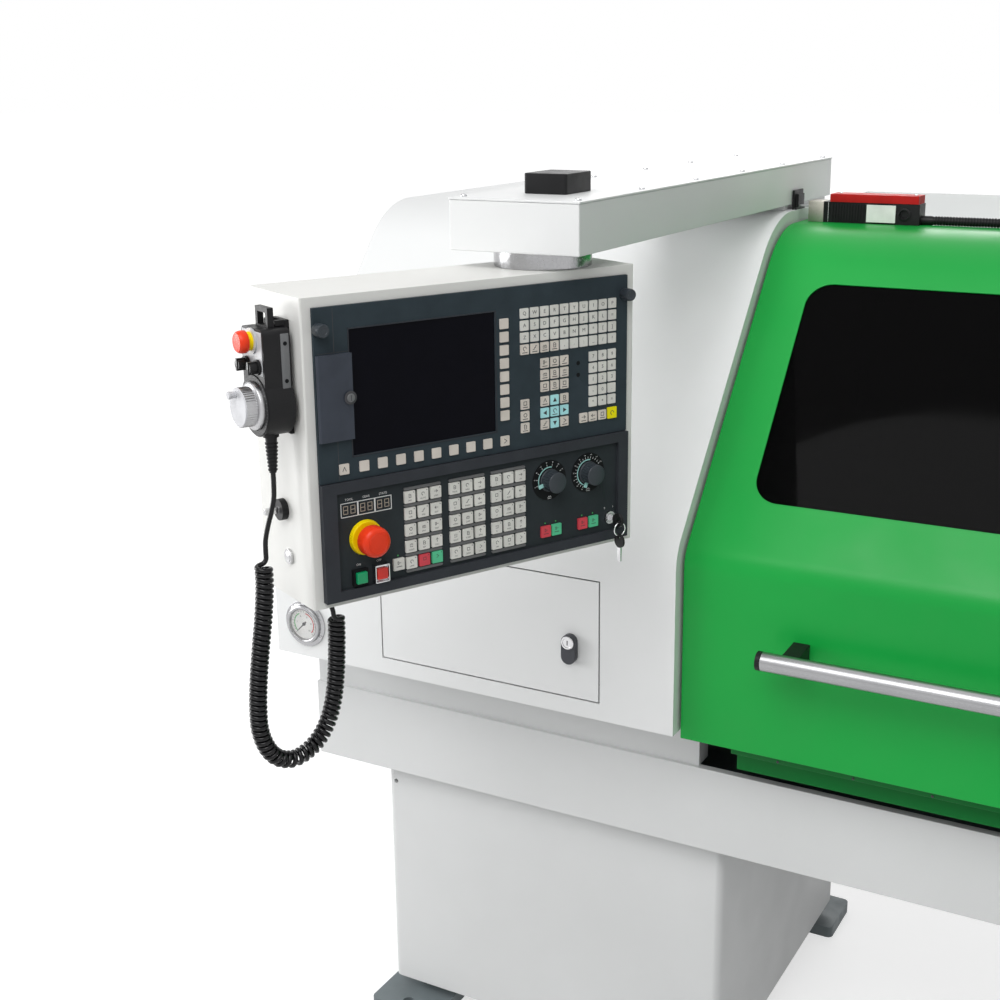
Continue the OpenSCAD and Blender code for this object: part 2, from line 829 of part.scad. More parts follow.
module interlock_bracket() {
    x0 = cover_x1 - 9;
    y1 = switch_y + switch_w;
    color("silver") {
        // Angle on the edge of the cover
        box([x0, switch_y - 4, roof_z], [cover_x1 - 1, y1 + 4, roof_z + 4]);
        box([x0, switch_y - 4, roof_z], [x0 + 4, y1 + 4, roof_z + 34]);
        // Tongue that reaches into the switch
        box([x0, switch_y + 11, tongue_z], [switch_x0 + 20, y1 - 11, tongue_z + 3]);
        box([x0, switch_y + 4, tongue_z - 1], [x0 + 9, y1 - 4, tongue_z + 22]);
    }
}

// Left cover fittings

module access_panel() {
    color("white") difference() {
        union() {
            box([panel_x0, front_y, panel_z0], [panel_x0 + access_w, front_y + sheet, panel_z0 + access_h]);
            // Ears with the pivot pins
            for (z = [panel_z0, panel_z0 + access_h - 2 * ear_h])
                box([panel_x0 + 1, front_y + sheet - eps, z], [panel_x0 + ear_w, front_y + sheet + ear_d, z + 2 * ear_h]);
            for (z = [panel_z0 - access_gap - ear_h * 0.8, panel_z0 + access_h - eps])
                translate([pivot_x, pivot_y, z]) cylinder(h = access_gap + ear_h * 0.8 + eps, d = pivot_d);
        }
        translate([latch_x, front_y - eps, latch_z]) rotate([-90, 0, 0])
            cylinder(h = sheet + 2 * eps, d = latch_stem + 2 * run);
    }
}

module access_latch() {
    color("black") translate([latch_x, front_y, latch_z]) {
        // Grip with round ends, hanging below the stem
        rotate([90, 0, 0]) translate([0, 0, run]) linear_extrude(latch_t) {
            circle(d = latch_w);
            translate([0, -latch_drop]) circle(d = latch_w);
            translate([-latch_w / 2, -latch_drop]) square([latch_w, latch_drop]);
        }
        // Stem through the panel and cam behind it
        rotate([-90, 0, 0]) translate([0, 0, -run - eps]) cylinder(h = sheet + 2 * run + eps + cam_t, d = latch_stem);
        box([-cam_w / 2, sheet + run, -cam_w / 2], [cam_w / 2, sheet + run + cam_t, cam_len]);
    }
}

module pressure_gauge() {
    color("silver") translate([gauge_x, front_y, gauge_z]) rotate([90, 0, 0])
        rotate_extrude() polygon([
            [0, -34], [gauge_d / 2 - 2, -34], [gauge_d / 2, -32], [gauge_d / 2, 0], [gauge_flange_d / 2, 0],
            [gauge_flange_d / 2, 2.5], [gauge_d / 2 + 4, 3.5], [gauge_d / 2 + 3, 11], [gauge_d / 2, 12],
            [gauge_d / 2 - 3, 11], [gauge_d / 2 - 4, 5], [0, 5]
        ]);
}

// Electric cabinet on the rear wall

cab_x0 = x_left + 150;
cab_len = 800;
cab_z0 = cover_z - 60;
cab_h = 780;
cab_d = 270;
cab_x1 = cab_x0 + cab_len;
cab_y1 = rear_reach + cab_d;
cab_hinge_r = 6;
cab_hinge_x = cab_x1 + 7;
cab_hinge_y = cab_y1 + 8;
cab_hinge_pin = 6;
cab_hinge_len = 24;
cab_hinges = [cab_z0 + 90, cab_z0 + cab_h - 90 - 3 * cab_hinge_len];
cab_lid = 16;

module electric_cabinet() {
    color("lightgray") {
        difference() {
            box([cab_x0, rear_reach, cab_z0], [cab_x1, cab_y1, cab_z0 + cab_h]);
            box([cab_x0 + sheet, rear_reach + sheet, cab_z0 + sheet], [cab_x1 - sheet, cab_y1 + eps, cab_z0 + cab_h - sheet]);
        }
        // Drive modules on the back plate
        drive_pitch = (cab_len - 150) / 5;
        for (i = [0:4])
            translate([cab_x0 + 90 + i * drive_pitch, rear_reach + sheet - eps, cab_z0 + 360])
                cube([drive_pitch - 30, 167 + eps, cab_h - 480]);
        for (i = [0:1])
            box([cab_x0 + 60, rear_reach + sheet, cab_z0 + 120 + i * 110], [cab_x1 - 60, rear_reach + 70, cab_z0 + 190 + i * 110]);
        // Hinge knuckles and pins
        for (z = cab_hinges) {
            for (k = [0, 2])
                translate([0, 0, z + k * cab_hinge_len]) {
                    translate([cab_hinge_x, cab_hinge_y, 0]) cylinder(h = cab_hinge_len, r = cab_hinge_r);
                    box([cab_x1 - eps, cab_y1 - 20, 0], [cab_hinge_x + cab_hinge_r, cab_hinge_y, cab_hinge_len]);
                }
            translate([cab_hinge_x, cab_hinge_y, z]) cylinder(h = 3 * cab_hinge_len, d = cab_hinge_pin);
        }
    }
}

module cabinet_door() {
    y0 = cab_y1 + run;
    color("lightgray") {
        difference() {
            box([cab_x0, y0, cab_z0], [cab_x1 - 2, y0 + cab_lid, cab_z0 + cab_h]);
            box([cab_x0 + sheet, y0 - eps, cab_z0 + sheet], [cab_x1 - 2 - sheet, y0 + cab_lid - sheet, cab_z0 + cab_h - sheet]);
            for (i = [0:7])
                translate([(cab_x0 + cab_x1) / 2, y0 + cab_lid, cab_z0 + 90 + i * 20]) cube([240, 4 * sheet, 6], center = true);
        }
        for (z = cab_hinges)
            difference() {
                union() {
                    translate([cab_hinge_x, cab_hinge_y, z + cab_hinge_len + run])
                        cylinder(h = cab_hinge_len - 2 * run, r = cab_hinge_r);
                    box([cab_x1 - 2 - eps, cab_hinge_y - 2, z + cab_hinge_len + run],
                        [cab_hinge_x, cab_hinge_y + 2, z + 2 * cab_hinge_len - run]);
                }
                translate([cab_hinge_x, cab_hinge_y, z]) cylinder(h = 3 * cab_hinge_len, d = cab_hinge_pin + 2 * run);
            }
        // Handle bar
        for (z = [-50, 40])
            box([cab_x0 + 40, y0 + cab_lid - eps, cab_z0 + cab_h / 2 + z], [cab_x0 + 54, y0 + cab_lid + 24, cab_z0 + cab_h / 2 + z + 12]);
        box([cab_x0 + 40, y0 + cab_lid + 24 - eps, cab_z0 + cab_h / 2 - 60], [cab_x0 + 54, y0 + cab_lid + 36, cab_z0 + cab_h / 2 + 62]);
    }
}

// Spindle group

module spindle() {
    color("lightsteelblue") translate([0, 0, axis_z]) {
        bar_x(head_x0 - 10, head_x1 + 9, spindle_d);
        bar_x(head_x1 + 9, nose_x, nose_d);
        // Hydraulic chuck cylinder at the rear end
        bar_x(x_left + 30, head_x0 - 10, cylinder_d * 0.5);
        bar_x(x_left + 34, head_x0 - 24, cylinder_d);
    }
}

module chuck() {
    r = chuck_d / 2;
    color("silver") translate([0, 0, axis_z]) {
        translate([nose_x, 0, 0]) rotate([0, 90, 0])
            rotate_extrude() polygon([
                [0, 0], [r - 8, 0], [r - 8, 18], [r, 18], [r, chuck_t - 4], [r - 4, chuck_t],
                [38, chuck_t], [34, chuck_t - 22], [0, chuck_t - 22]
            ]);
        // Stepped hard jaws
        for (a = [90, 210, 330])
            rotate([a, 0, 0])
                along_x(nose_x + chuck_t - eps, nose_x + chuck_t + jaw_t)
                    translate([r * 0.62, 0]) square([r * 0.62, 44], center = true);
        for (a = [90, 210, 330])
            rotate([a, 0, 0])
                along_x(nose_x + chuck_t + jaw_t - eps, nose_x + chuck_t + jaw_t + 24)
                    translate([r * 0.76, 0]) square([r * 0.34, 44], center = true);
    }
}

// Slides

module carriage() {
    x0 = -saddle_len / 2;
    x1 = saddle_len / 2;
    apron_y0 = screw_y - 52;
    color("slategray") difference() {
        union() {
            box([x0, -saddle_w / 2 - 40, saddle_z], [x1, saddle_w / 2, saddle_top]);
            // Apron with the screw nut
            box([x0 + 40, apron_y0, screw_z - 50], [x1 - 40, -bed_w / 2 - 8, saddle_z + eps]);
        }
        // Waist of the saddle behind the slide
        for (s = [-1, 1])
            translate([s * (saddle_len / 2), saddle_w / 2, saddle_z - eps])
                linear_extrude(saddle_h + 2 * eps) rounded_rect(180, 240, 30);
        translate([0, screw_y, screw_z]) bar_x(x0, x1, screw_d + 2 * run);
    }
}

module cross_slide() {
    color("slategray") {
        box([-slide_w / 2, slide_y0, slide_z], [slide_w / 2, slide_y1, slide_top]);
        difference() {
            union() {
                box([turret_x + run, turret_y - turret_box_w / 2, slide_top - eps], [turret_x + turret_box, turret_y + turret_box_w / 2, axis_z]);
                translate([0, turret_y, axis_z]) bar_x(turret_x + run, turret_x + turret_box, turret_box_w);
                // Index motor
                translate([0, turret_y, axis_z]) bar_x(turret_x + turret_box, turret_x + turret_box + 90, 110);
            }
            translate([0, turret_y, axis_z]) bar_x(turret_x - eps, turret_x + 60, turret_shaft + 2 * run);
        }
    }
}

module turret() {
    color("silver") translate([0, turret_y, axis_z]) {
        difference() {
            union() {
                bar_x(turret_x - turret_t, turret_x, 2 * turret_r);
                bar_x(turret_x - 2, turret_x + 50, turret_shaft);
            }
            bar_x(turret_x - turret_t - eps, turret_x - turret_t + 14, turret_r);
        }
        // Tool blocks with shanks
        for (i = [0:tool_count - 1])
            rotate([i * 360 / tool_count, 0, 0]) {
                translate([turret_x - turret_t / 2, turret_r + 2, 0]) cube([turret_t - 14, 24, tool_w + 12], center = true);
                translate([turret_x - turret_t / 2, turret_r + tool_len / 2, 0]) cube([tool_w - 8, tool_len, tool_w - 10], center = true);
            }
    }
}

module tailstock() {
    z0 = saddle_z;
    color("slategray") difference() {
        union() {
            box([tail_x0, -tail_w / 2, z0], [tail_x0 + tail_len, tail_w / 2, z0 + tail_base_h]);
            along_x(tail_x0 + 10, tail_x0 + tail_len - 10)
                polygon([[-tail_w / 2 + 10, z0 + tail_base_h - eps], [tail_w / 2 - 10, z0 + tail_base_h - eps],
                    [quill_d * 0.95, axis_z], [-quill_d * 0.95, axis_z]]);
            translate([0, 0, axis_z]) bar_x(tail_x0, tail_x0 + tail_len, quill_d * 1.9);
        }
        translate([0, 0, axis_z]) bar_x(tail_x0 - eps, tail_x0 + tail_len + eps, quill_d + 2 * run);
    }
}

module quill() {
    color("silver") translate([quill_x0, 0, axis_z]) rotate([0, 90, 0]) {
        cylinder(h = quill_len, d = quill_d);
        translate([0, 0, -centre_len]) cylinder(h = centre_len, d1 = 0.8, d2 = centre_len * 1.15);
    }
}

module z_screw() {
    color("silver") translate([0, screw_y, screw_z]) bar_x(screw_x0 + 4, screw_x1 - 1, screw_d);
}

module z_motor() {
    color("black") translate([screw_x1, screw_y, screw_z]) {
        along_x(0, 30) rounded_rect(z_motor_w, z_motor_w, 8);
        along_x(30 - eps, z_motor_len) rounded_rect(z_motor_w - 12, z_motor_w - 12, 16);
    }
}

// Pendant

module pendant_arm() {
    x0 = swivel_x - arm_w / 2;
    x1 = swivel_x + arm_w / 2;
    top = arm_z + arm_h - lid_t;
    // Welded of plates: floor, two sides, two ends, and the foot on the left cover
    color("white") {
        difference() {
            box([x0 + arm_wall + weld, arm_y0 + arm_wall + weld, arm_z],
                [x1 - arm_wall - weld, arm_y1 - arm_wall - weld, arm_z + arm_wall]);
            translate([swivel_x, swivel_y, arm_z - eps]) cylinder(h = arm_wall + 2 * eps, d = neck_d + 2 * run);
        }
        for (x = [x0, x1 - arm_wall])
            box([x, arm_y0 + arm_wall + weld, arm_z], [x + arm_wall, arm_y1 - arm_wall - weld, top]);
        for (y = [arm_y0, arm_y1 - arm_wall])
            box([x0, y, arm_z], [x1, y + arm_wall, top]);
        box([x0 + 8, roof_start + 12, roof_z], [x1 - 8, arm_y1 - 8, arm_z - weld]);
    }
}

module arm_lid() {
    color("whitesmoke") difference() {
        translate([swivel_x - arm_w / 2 - 1, arm_y0 - 1, arm_z + arm_h - lid_t]) cube([arm_w + 2, arm_y1 - arm_y0 + 2, lid_t]);
        translate([swivel_x, swivel_y + 46, arm_z + arm_h - lid_t - eps]) cylinder(h = lid_t + 2 * eps, d = 36);
    }
}

module cable_hood() {
    color("black") translate([swivel_x, swivel_y + 6 + hood_len / 2, arm_z + arm_h]) difference() {
        linear_extrude(hood_h) rounded_rect(hood_w, hood_len, 5);
        translate([0, 0, -eps]) linear_extrude(hood_h - 4) rounded_rect(hood_w - 10, hood_len - 10, 3);
    }
}

module swivel_ring() {
    color("silver") translate([swivel_x, swivel_y, 0]) {
        translate([0, 0, pend_z1]) cylinder(h = arm_z - run - pend_z1, d = swivel_d);
        translate([0, 0, arm_z - run - eps]) cylinder(h = arm_wall + 2 * run + eps, d = neck_d);
        translate([0, 0, arm_z + arm_wall + run]) cylinder(h = collar_h, d = collar_d);
    }
}

module pendant_housing() {
    color("whitesmoke") in_pendant() difference() {
        translate([panel_w / 2, (pendant_d + panel_t) / 2, pend_z0])
            linear_extrude(pend_z1 - pend_z0) rounded_rect(panel_w + 2 * side_band, pendant_d - panel_t, pend_r);
        box([0, panel_t - eps, panel_z - lower_h], [panel_w, pendant_d - pend_wall, panel_z + upper_h]);
        // Cord outlet
        translate([gland[0], gland[1], pend_z0 - eps]) cylinder(h = bottom_band + 2 * eps, d = cord_d + 1);
    }
}

module display_panel() {
    color([0.2, 0.23, 0.26]) in_pendant() difference() {
        union() {
            box([0, 0, panel_z + 0.4], [panel_w, panel_t, panel_z + upper_h]);
            // Drive box behind the panel, which closes the housing
            box([30, panel_t - eps, panel_z + 20], [panel_w - 30, 70, panel_z + upper_h - 20]);
            // Raised fastening knobs
            for (u = [6, panel_w - 6]) translate([u, 0, panel_z + 194]) rotate([90, 0, 0]) cylinder(h = 16, d = 16);
        }
        box([screen_u, -eps, panel_z + screen_v], [screen_u + screen_w, panel_t, panel_z + screen_v + screen_h]);
        for (v = [106.5, 90.2]) translate([398, -eps, panel_z + v]) rotate([-90, 0, 0]) cylinder(h = 2, d = 5);
    }
}

module display_screen() {
    color([0.03, 0.03, 0.05]) in_pendant()
        box([screen_u, 1.2, panel_z + screen_v], [screen_u + screen_w, panel_t, panel_z + screen_v + screen_h]);
}

// One key cap on the panel front
module key_cap(u, v, w, h) {
    on_panel(u, v) linear_extrude(h) rounded_rect(w, w, 1);
}

module display_keys() {
    color("lightgray") {
        for (i = [0:7]) key_cap(276, 173.4 - i * 17.55, key_w, key_h);
        for (i = [0:7]) key_cap(62.1 + i * 26.54, 16, key_w, key_h);
        for (u = [33.7, 275.5]) key_cap(u, 16, key_w, key_h);
        for (i = [0:9], j = [0:3]) key_cap(grid_u + i * key_pitch, 135.4 + j * key_row, key_w, key_h);
        for (i = [2:4], j = [0:2]) key_cap(grid_u + i * key_pitch, 81.4 + j * key_row, key_w, key_h);
        for (i = [0, 2, 3, 4], j = [0:2]) key_cap(grid_u + i * key_pitch, grid_v + j * key_row, key_w, key_h);
        for (i = [7:9], j = [0:4]) key_cap(grid_u + i * key_pitch, 49.6 + j * 15.95, key_w, key_h);
        for (i = [6:8]) key_cap(grid_u + i * key_pitch, grid_v, key_w, key_h);
        key_cap(456.2, 29.7, 16, key_h);
    }
}

module media_flap() {
    color([0.23, 0.26, 0.3]) in_pendant() {
        y1 = -run;
        translate([flap_pin, -flap_pin - run, panel_z + flap_v]) cylinder(h = flap_h, r = flap_pin);
        box([flap_pin, -flap_t - run, panel_z + flap_v], [flap_w, y1, panel_z + flap_v + flap_h]);
        // Lock at the free edge
        translate([flap_w - 5, -flap_t - run + eps, panel_z + 107]) rotate([90, 0, 0]) cylinder(h = 2.5, d = 9);
    }
}

module control_panel() {
    color([0.14, 0.17, 0.2]) in_pendant() {
        difference() {
            box([0, -border_t, panel_z - lower_h], [panel_w, panel_t, panel_z - 0.4]);
            box([field_u0, -border_t - eps, panel_z - lower_h + field_low], [panel_w - field_u1, 0, panel_z - field_top]);
        }
        // Control box behind the panel
        box([30, panel_t - eps, panel_z - lower_h + 20], [panel_w - 30, 60, panel_z - 20]);
        // Dials and button frames
        for (u = dial_us) translate([u, eps, panel_z - dial_v]) rotate([90, 0, 0]) cylinder(h = dial_t + eps, d = dial_d);
        for (u = push_us)
            translate([u, eps, panel_z - push_v]) rotate([90, 0, 0])
                linear_extrude(push_frame_h + eps) difference() {
                    square(push_frame, center = true);
                    square(push_w + 2 * run, center = true);
                }
        translate([lock_u, eps, panel_z - lock_v]) rotate([90, 0, 0]) difference() {
            cylinder(h = lock_h + eps, d = lock_d);
            translate([0, 0, eps]) cylinder(h = lock_h + eps, d = lock_d - 6);
        }
        // Finger ridges between the key rows
        for (u = block_us, j = [0:5])
            translate([u + ckey_pitch, eps, panel_z - ckey_top + ckey_row * (0.5 - j)]) rotate([90, 0, 0])
                linear_extrude(2.4 + eps) rounded_rect(2 * ckey_pitch + ckey, 3.6, 1.7);
    }
}

module control_keys() {
    color("gainsboro") {
        for (u = block_us, i = [0:2], j = [0:4]) key_cap(u + i * ckey_pitch, -ckey_top - j * ckey_row, ckey, ckey_h);
        key_cap(106.5, -pair_v, ckey, ckey_h);
        for (u = pair_us) key_cap(u, -pair_v, ckey, ckey_h);
    }
}

module estop_collar() {
    color("gold") on_panel(stop_u, -stop_v) difference() {
        cylinder(h = collar_u_h, d1 = collar_u_d, d2 = collar_u_d - 3);
        translate([0, 0, -eps]) cylinder(h = collar_u_h + 2 * eps, d = mush_d * 0.6 + 2 * run);
    }
}

module estop_button() {
    stem = mush_d * 0.6;
    z0 = collar_u_h + mush_travel + 1;
    color("red") on_panel(stop_u, -stop_v) rotate_extrude() polygon([
        [0, mush_travel + run], [stem / 2, mush_travel + run], [stem / 2, z0], [mush_d / 2 - 2, z0], [mush_d / 2, z0 + 3],
        [mush_d / 2, z0 + mush_h - 9], [mush_d / 2 - 1, z0 + mush_h - 5], [mush_d / 2 - 4, z0 + mush_h - 2],
        [mush_d / 2 - 9, z0 + mush_h], [0, z0 + mush_h + 0.6]
    ]);
}

// Override knob with a skirt and a pointer rib
module override_knob(u, turn) {
    on_panel(u, -dial_v) translate([0, 0, dial_t + run]) {
        cylinder(h = 3, d = knob_d + 3);
        cylinder(h = knob_h, d = knob_d);
        rotate(turn) translate([0, -1.6, 0]) cube([knob_d / 2 + 4, 3.2, 3.6]);
    }
}
module feed_knob() {
    color([0.13, 0.15, 0.17]) override_knob(dial_us[0], knob_turns[0]);
}
module speed_knob() {
    color([0.13, 0.15, 0.17]) override_knob(dial_us[1], knob_turns[1]);
}

module switch_key() {
    blade = lock_d - 7;
    color("black") on_panel(lock_u, -lock_v) {
        // Lock core and key grip
        translate([0, 0, run + 0.2]) cylinder(h = lock_h - run, d = blade);
        translate([0, 0, lock_h - eps]) difference() {
            union() {
                translate([-1.3, -4, 0]) cube([2.6, 8, 10]);
                translate([-2.2, 0, 18]) rotate([0, 90, 0]) cylinder(h = 4.4, d = 20);
            }
            translate([-3, 0, 22]) rotate([0, 90, 0]) cylinder(h = 6, d = 6);
        }
    }
    // Ring hanging in the grip, with the spare key on it
    ring_r = 9.5;
    wire = 1.8;
    z_ring = lock_h - eps + 22;
    color("silver") on_panel(lock_u, -lock_v) {
        translate([0, -2.4 - ring_r, z_ring]) rotate_extrude($fn = 32) translate([ring_r, 0]) circle(d = wire, $fn = 16);
        translate([0, -2.4 - 2 * ring_r - 1.8, z_ring]) difference() {
            union() {
                translate([-1.6, -6, 0]) rotate([0, 90, 0]) cylinder(h = 3.2, d = 20);
                translate([-1.1, -36, -3.5]) cube([2.2, 22, 7]);
            }
            translate([-3, 0, 0]) rotate([0, 90, 0]) cylinder(h = 6, d = 6);
        }
    }
}

module push_cap(i, c) {
    color(c) on_panel(push_us[i], -push_v) translate([0, 0, push_out + run])
        linear_extrude(push_frame_h) square(push_w, center = true);
}
module start_button() {
    push_cap(0, "green");
}
module stop_button() {
    push_cap(1, "red");
}

// Hand unit

module hand_unit_holder() {
    color("black") in_pendant() {
        x1 = -side_band;
        box([x1 - holder_t, unit_y - 18, unit_z0 + 6], [x1, unit_y + 18, unit_z0 + unit_h + 8]);
        // Fork that the hanger loop drops into
        for (s = [-1, 1])
            box([unit_x1 - 12, unit_y + s * 13 - 3, unit_z0 + unit_h + 0.3], [unit_x1 + eps, unit_y + s * 13 + 3, unit_z0 + unit_h + 8]);
    }
}

module hand_unit() {
    color([0.1, 0.1, 0.1]) in_pendant() {
        difference() {
            union() {
                translate([unit_x0, unit_y, unit_wheel_z]) rotate([0, 90, 0]) cylinder(h = unit_t, d = unit_round_d);
                translate([unit_x0, unit_y, unit_wheel_z + (unit_h - 44) / 2]) rotate([0, 90, 0])
                    linear_extrude(unit_t) rounded_rect(unit_h - 44, unit_w, 8);
            }
            // Seats of the wheel and the stop
            translate([unit_x0, unit_y, unit_wheel_z]) rotate([0, 90, 0]) translate([0, 0, -eps]) cylinder(h = 3 + eps, d = 22);
            translate([unit_x0, unit_y, unit_stop_z]) rotate([0, 90, 0]) translate([0, 0, -eps]) cylinder(h = 7, d = unit_stem + 2 * run);
        }
        // Collar round the stop
        translate([unit_x0, unit_y, unit_stop_z]) rotate([0, -90, 0]) difference() {
            translate([0, 0, -eps]) cylinder(h = 3 + eps, d = unit_stop_d + 4);
            translate([0, 0, -1]) cylinder(h = 5, d = unit_stem + 2 * run);
        }
        // Boss that takes the strain relief
        translate([cord_x, unit_y, boss_z]) cylinder(h = 12, d = 20);
        // Hanger loop
        difference() {
            box([unit_x1 - 22, unit_y - 17, unit_z0 + unit_h - eps], [unit_x1 - 14, unit_y + 17, unit_z0 + unit_h + 24]);
            box([unit_x1 - 23, unit_y - 11, unit_z0 + unit_h + 2], [unit_x1 - 13, unit_y + 11, unit_z0 + unit_h + 18]);
        }
    }
}

module hand_unit_stop() {
    color("red") on_unit(unit_y, unit_stop_z) {
        translate([0, 0, -1]) cylinder(h = 11, d = unit_stem);
        translate([0, 0, 9]) cylinder(h = 12, d1 = unit_stop_d, d2 = unit_stop_d - 4);
    }
}

module hand_wheel() {
    color("silver") on_unit(unit_y, unit_wheel_z) {
        translate([0, 0, -2.5]) cylinder(h = 6, d = 20);
        translate([0, 0, run + 0.5]) cylinder(h = 7, d = wheel_d);
        translate([0, 0, 7]) cylinder(h = 12, d = wheel_d - 10);
        // Crank knob
        translate([16, 4, 18]) cylinder(h = 16, d1 = 8, d2 = 10);
    }
}

module unit_knob(side) {
    on_unit(unit_y + side * unit_knob_off, unit_knob_z) translate([0, 0, run]) {
        cylinder(h = 4, d = unit_knob_d + 4);
        cylinder(h = unit_knob_h, d = unit_knob_d - 2);
        translate([-unit_knob_d / 2, -2, 0]) cube([unit_knob_d, 4, unit_knob_h + 1]);
    }
}
module axis_knob() {
    color("black") unit_knob(-1);
}
module step_knob() {
    color("black") unit_knob(1);
}

module cord_leads() {
    color([0.05, 0.05, 0.05]) in_pendant() {
        cord(lead_in, cord_d);
        cord(lead_out, cord_d);
    }
}

module coil_cord() {
    color([0.05, 0.05, 0.05]) in_pendant() cord(coil_route, coil_d);
}

module side_fittings() {
    color("black") in_pendant() {
        // Strain relief under the hand unit
        translate([cord_x, unit_y, boss_z - relief_len]) cylinder(h = relief_len, d1 = cord_d + 2.5, d2 = 15);
        // Gland under the housing
        translate(gland) cylinder(h = gland_len, d = 14);
        // Service socket and side lock
        translate([-side_band, 76, 1311]) rotate([0, -90, 0]) {
            cylinder(h = 9, d = 28);
            translate([-4, -3, 8]) cube([8, 6, 20]);
        }
        translate([-side_band, 66, 1250]) rotate([0, -90, 0]) cylinder(h = 4, d = 20);
    }
}

foot_plates();
jack_screws();
left_pedestal();
right_pedestal();
chip_tray();
bed();
headstock();
spindle_motor();
left_cover();
rear_guard();
right_cover();
door_rails();
pendant_arm();
arm_lid();
cable_hood();
interlock_bracket();
pressure_gauge();
electric_cabinet();
z_motor();
sliding_door();
door_window();
door_handle();
handle_brackets();
interlock_switch();
interlock_conduit();
access_panel();
access_latch();
cabinet_door();
spindle();
chuck();
carriage();
cross_slide();
turret();
tailstock();
quill();
z_screw();
pendant_housing();
swivel_ring();
display_panel();
display_screen();
display_keys();
media_flap();
control_panel();
control_keys();
estop_collar();
estop_button();
feed_knob();
speed_knob();
switch_key();
start_button();
stop_button();
hand_unit_holder();
hand_unit();
hand_unit_stop();
hand_wheel();
axis_knob();
step_knob();
cord_leads();
coil_cord();
side_fittings();
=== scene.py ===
"""Looks of the turning lathe: finishes, printed panels, small fittings, the curly cord and the studio."""

import json
import logging
import math
from dataclasses import dataclass
from enum import Enum
from typing import Callable, Iterable, Optional, Sequence

import bmesh
import bpy
from mathutils import Matrix, Vector

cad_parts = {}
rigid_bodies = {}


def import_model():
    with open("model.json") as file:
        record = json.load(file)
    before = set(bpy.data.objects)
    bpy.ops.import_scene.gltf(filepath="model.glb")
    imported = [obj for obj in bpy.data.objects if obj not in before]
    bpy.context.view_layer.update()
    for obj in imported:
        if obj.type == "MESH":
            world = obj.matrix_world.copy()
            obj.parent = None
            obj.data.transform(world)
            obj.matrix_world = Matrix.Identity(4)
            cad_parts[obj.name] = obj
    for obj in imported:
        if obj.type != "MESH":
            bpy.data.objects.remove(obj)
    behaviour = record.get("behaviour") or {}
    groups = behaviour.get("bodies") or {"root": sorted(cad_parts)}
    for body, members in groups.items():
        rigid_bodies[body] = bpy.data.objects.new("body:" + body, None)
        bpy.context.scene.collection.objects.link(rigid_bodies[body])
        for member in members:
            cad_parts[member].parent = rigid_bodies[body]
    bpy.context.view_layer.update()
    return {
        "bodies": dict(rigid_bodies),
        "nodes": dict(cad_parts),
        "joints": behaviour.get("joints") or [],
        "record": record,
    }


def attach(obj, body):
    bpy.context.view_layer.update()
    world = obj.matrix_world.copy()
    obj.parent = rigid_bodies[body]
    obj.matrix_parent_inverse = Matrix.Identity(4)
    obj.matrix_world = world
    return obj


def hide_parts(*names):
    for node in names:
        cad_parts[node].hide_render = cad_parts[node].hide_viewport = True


log = logging.getLogger("lathe")

MM = 0.001
Colour = tuple[float, float, float]
Point = tuple[float, float, float]
Flat = tuple[float, float]
Dressed = tuple[tuple[str, str, float], ...]
Rule = Callable[[float, float, float], int]
BMesh = bmesh.types.BMesh
Socket = bpy.types.NodeSocket
Material = bpy.types.Material
FRONT = Matrix.Rotation(math.radians(90), 4, "X")
ALONG = Matrix.Rotation(math.radians(90), 4, "Y")
SHARP = 35.0
SMOOTH_BEND = 32.0
EASED_STEPS = 2
PRINT = 0.04
WHITE = (1.0, 1.0, 1.0, 1.0)


class Sign(Enum):
    """Plain pictograms on the key caps, as lines in a unit square."""

    UP = (((0, -0.4), (0, 0.4)), ((-0.28, 0.1), (0, 0.4), (0.28, 0.1)))
    LEFT = (((0.4, 0), (-0.4, 0)), ((-0.1, -0.28), (-0.4, 0), (-0.1, 0.28)))
    RIGHT = (((-0.4, 0), (0.4, 0)), ((0.1, -0.28), (0.4, 0), (0.1, 0.28)))
    HAT = (((-0.3, -0.3), (0, 0.35), (0.3, -0.3)),)
    WEDGE = (((-0.2, -0.35), (0.3, 0), (-0.2, 0.35)),)
    RING = (tuple((0.34 * math.cos(a * 0.6283), 0.34 * math.sin(a * 0.6283)) for a in range(11)),)
    TURN = (tuple((0.34 * math.cos(a * 0.6), 0.34 * math.sin(a * 0.6)) for a in range(8)),
            ((-0.1, -0.4), (-0.2, -0.2)))
    SQUARE = (((-0.32, -0.32), (0.32, -0.32), (0.32, 0.32), (-0.32, 0.32), (-0.32, -0.32)),)
    PAGE = (((-0.25, -0.38), (0.25, -0.38), (0.25, 0.2), (0.05, 0.38), (-0.25, 0.38), (-0.25, -0.38)),
            ((-0.12, 0.0), (0.12, 0.0)))
    STEPS = (((-0.4, -0.3), (-0.1, -0.3), (-0.1, 0.0), (0.15, 0.0), (0.15, 0.3), (0.4, 0.3)),)
    WAVE = (((-0.4, -0.1), (-0.2, 0.2), (0.0, -0.1), (0.2, 0.2), (0.4, -0.1)), ((-0.4, -0.32), (0.4, -0.32)))
    CHUCK = (((-0.35, -0.3), (-0.35, 0.3), (-0.1, 0.3), (-0.1, -0.3), (-0.35, -0.3)), ((-0.1, 0), (0.4, 0)))
    DROPS = (((-0.3, 0.3), (-0.3, 0.0)), ((0, 0.35), (0, 0.05)), ((0.3, 0.3), (0.3, 0.0)),
             ((-0.35, -0.3), (0.35, -0.3)))
    DIGIT = (((-0.3, -0.5), (0.3, -0.5), (0.3, 0.5), (-0.3, 0.5), (-0.3, -0.5)), ((-0.3, 0), (0.3, 0)))


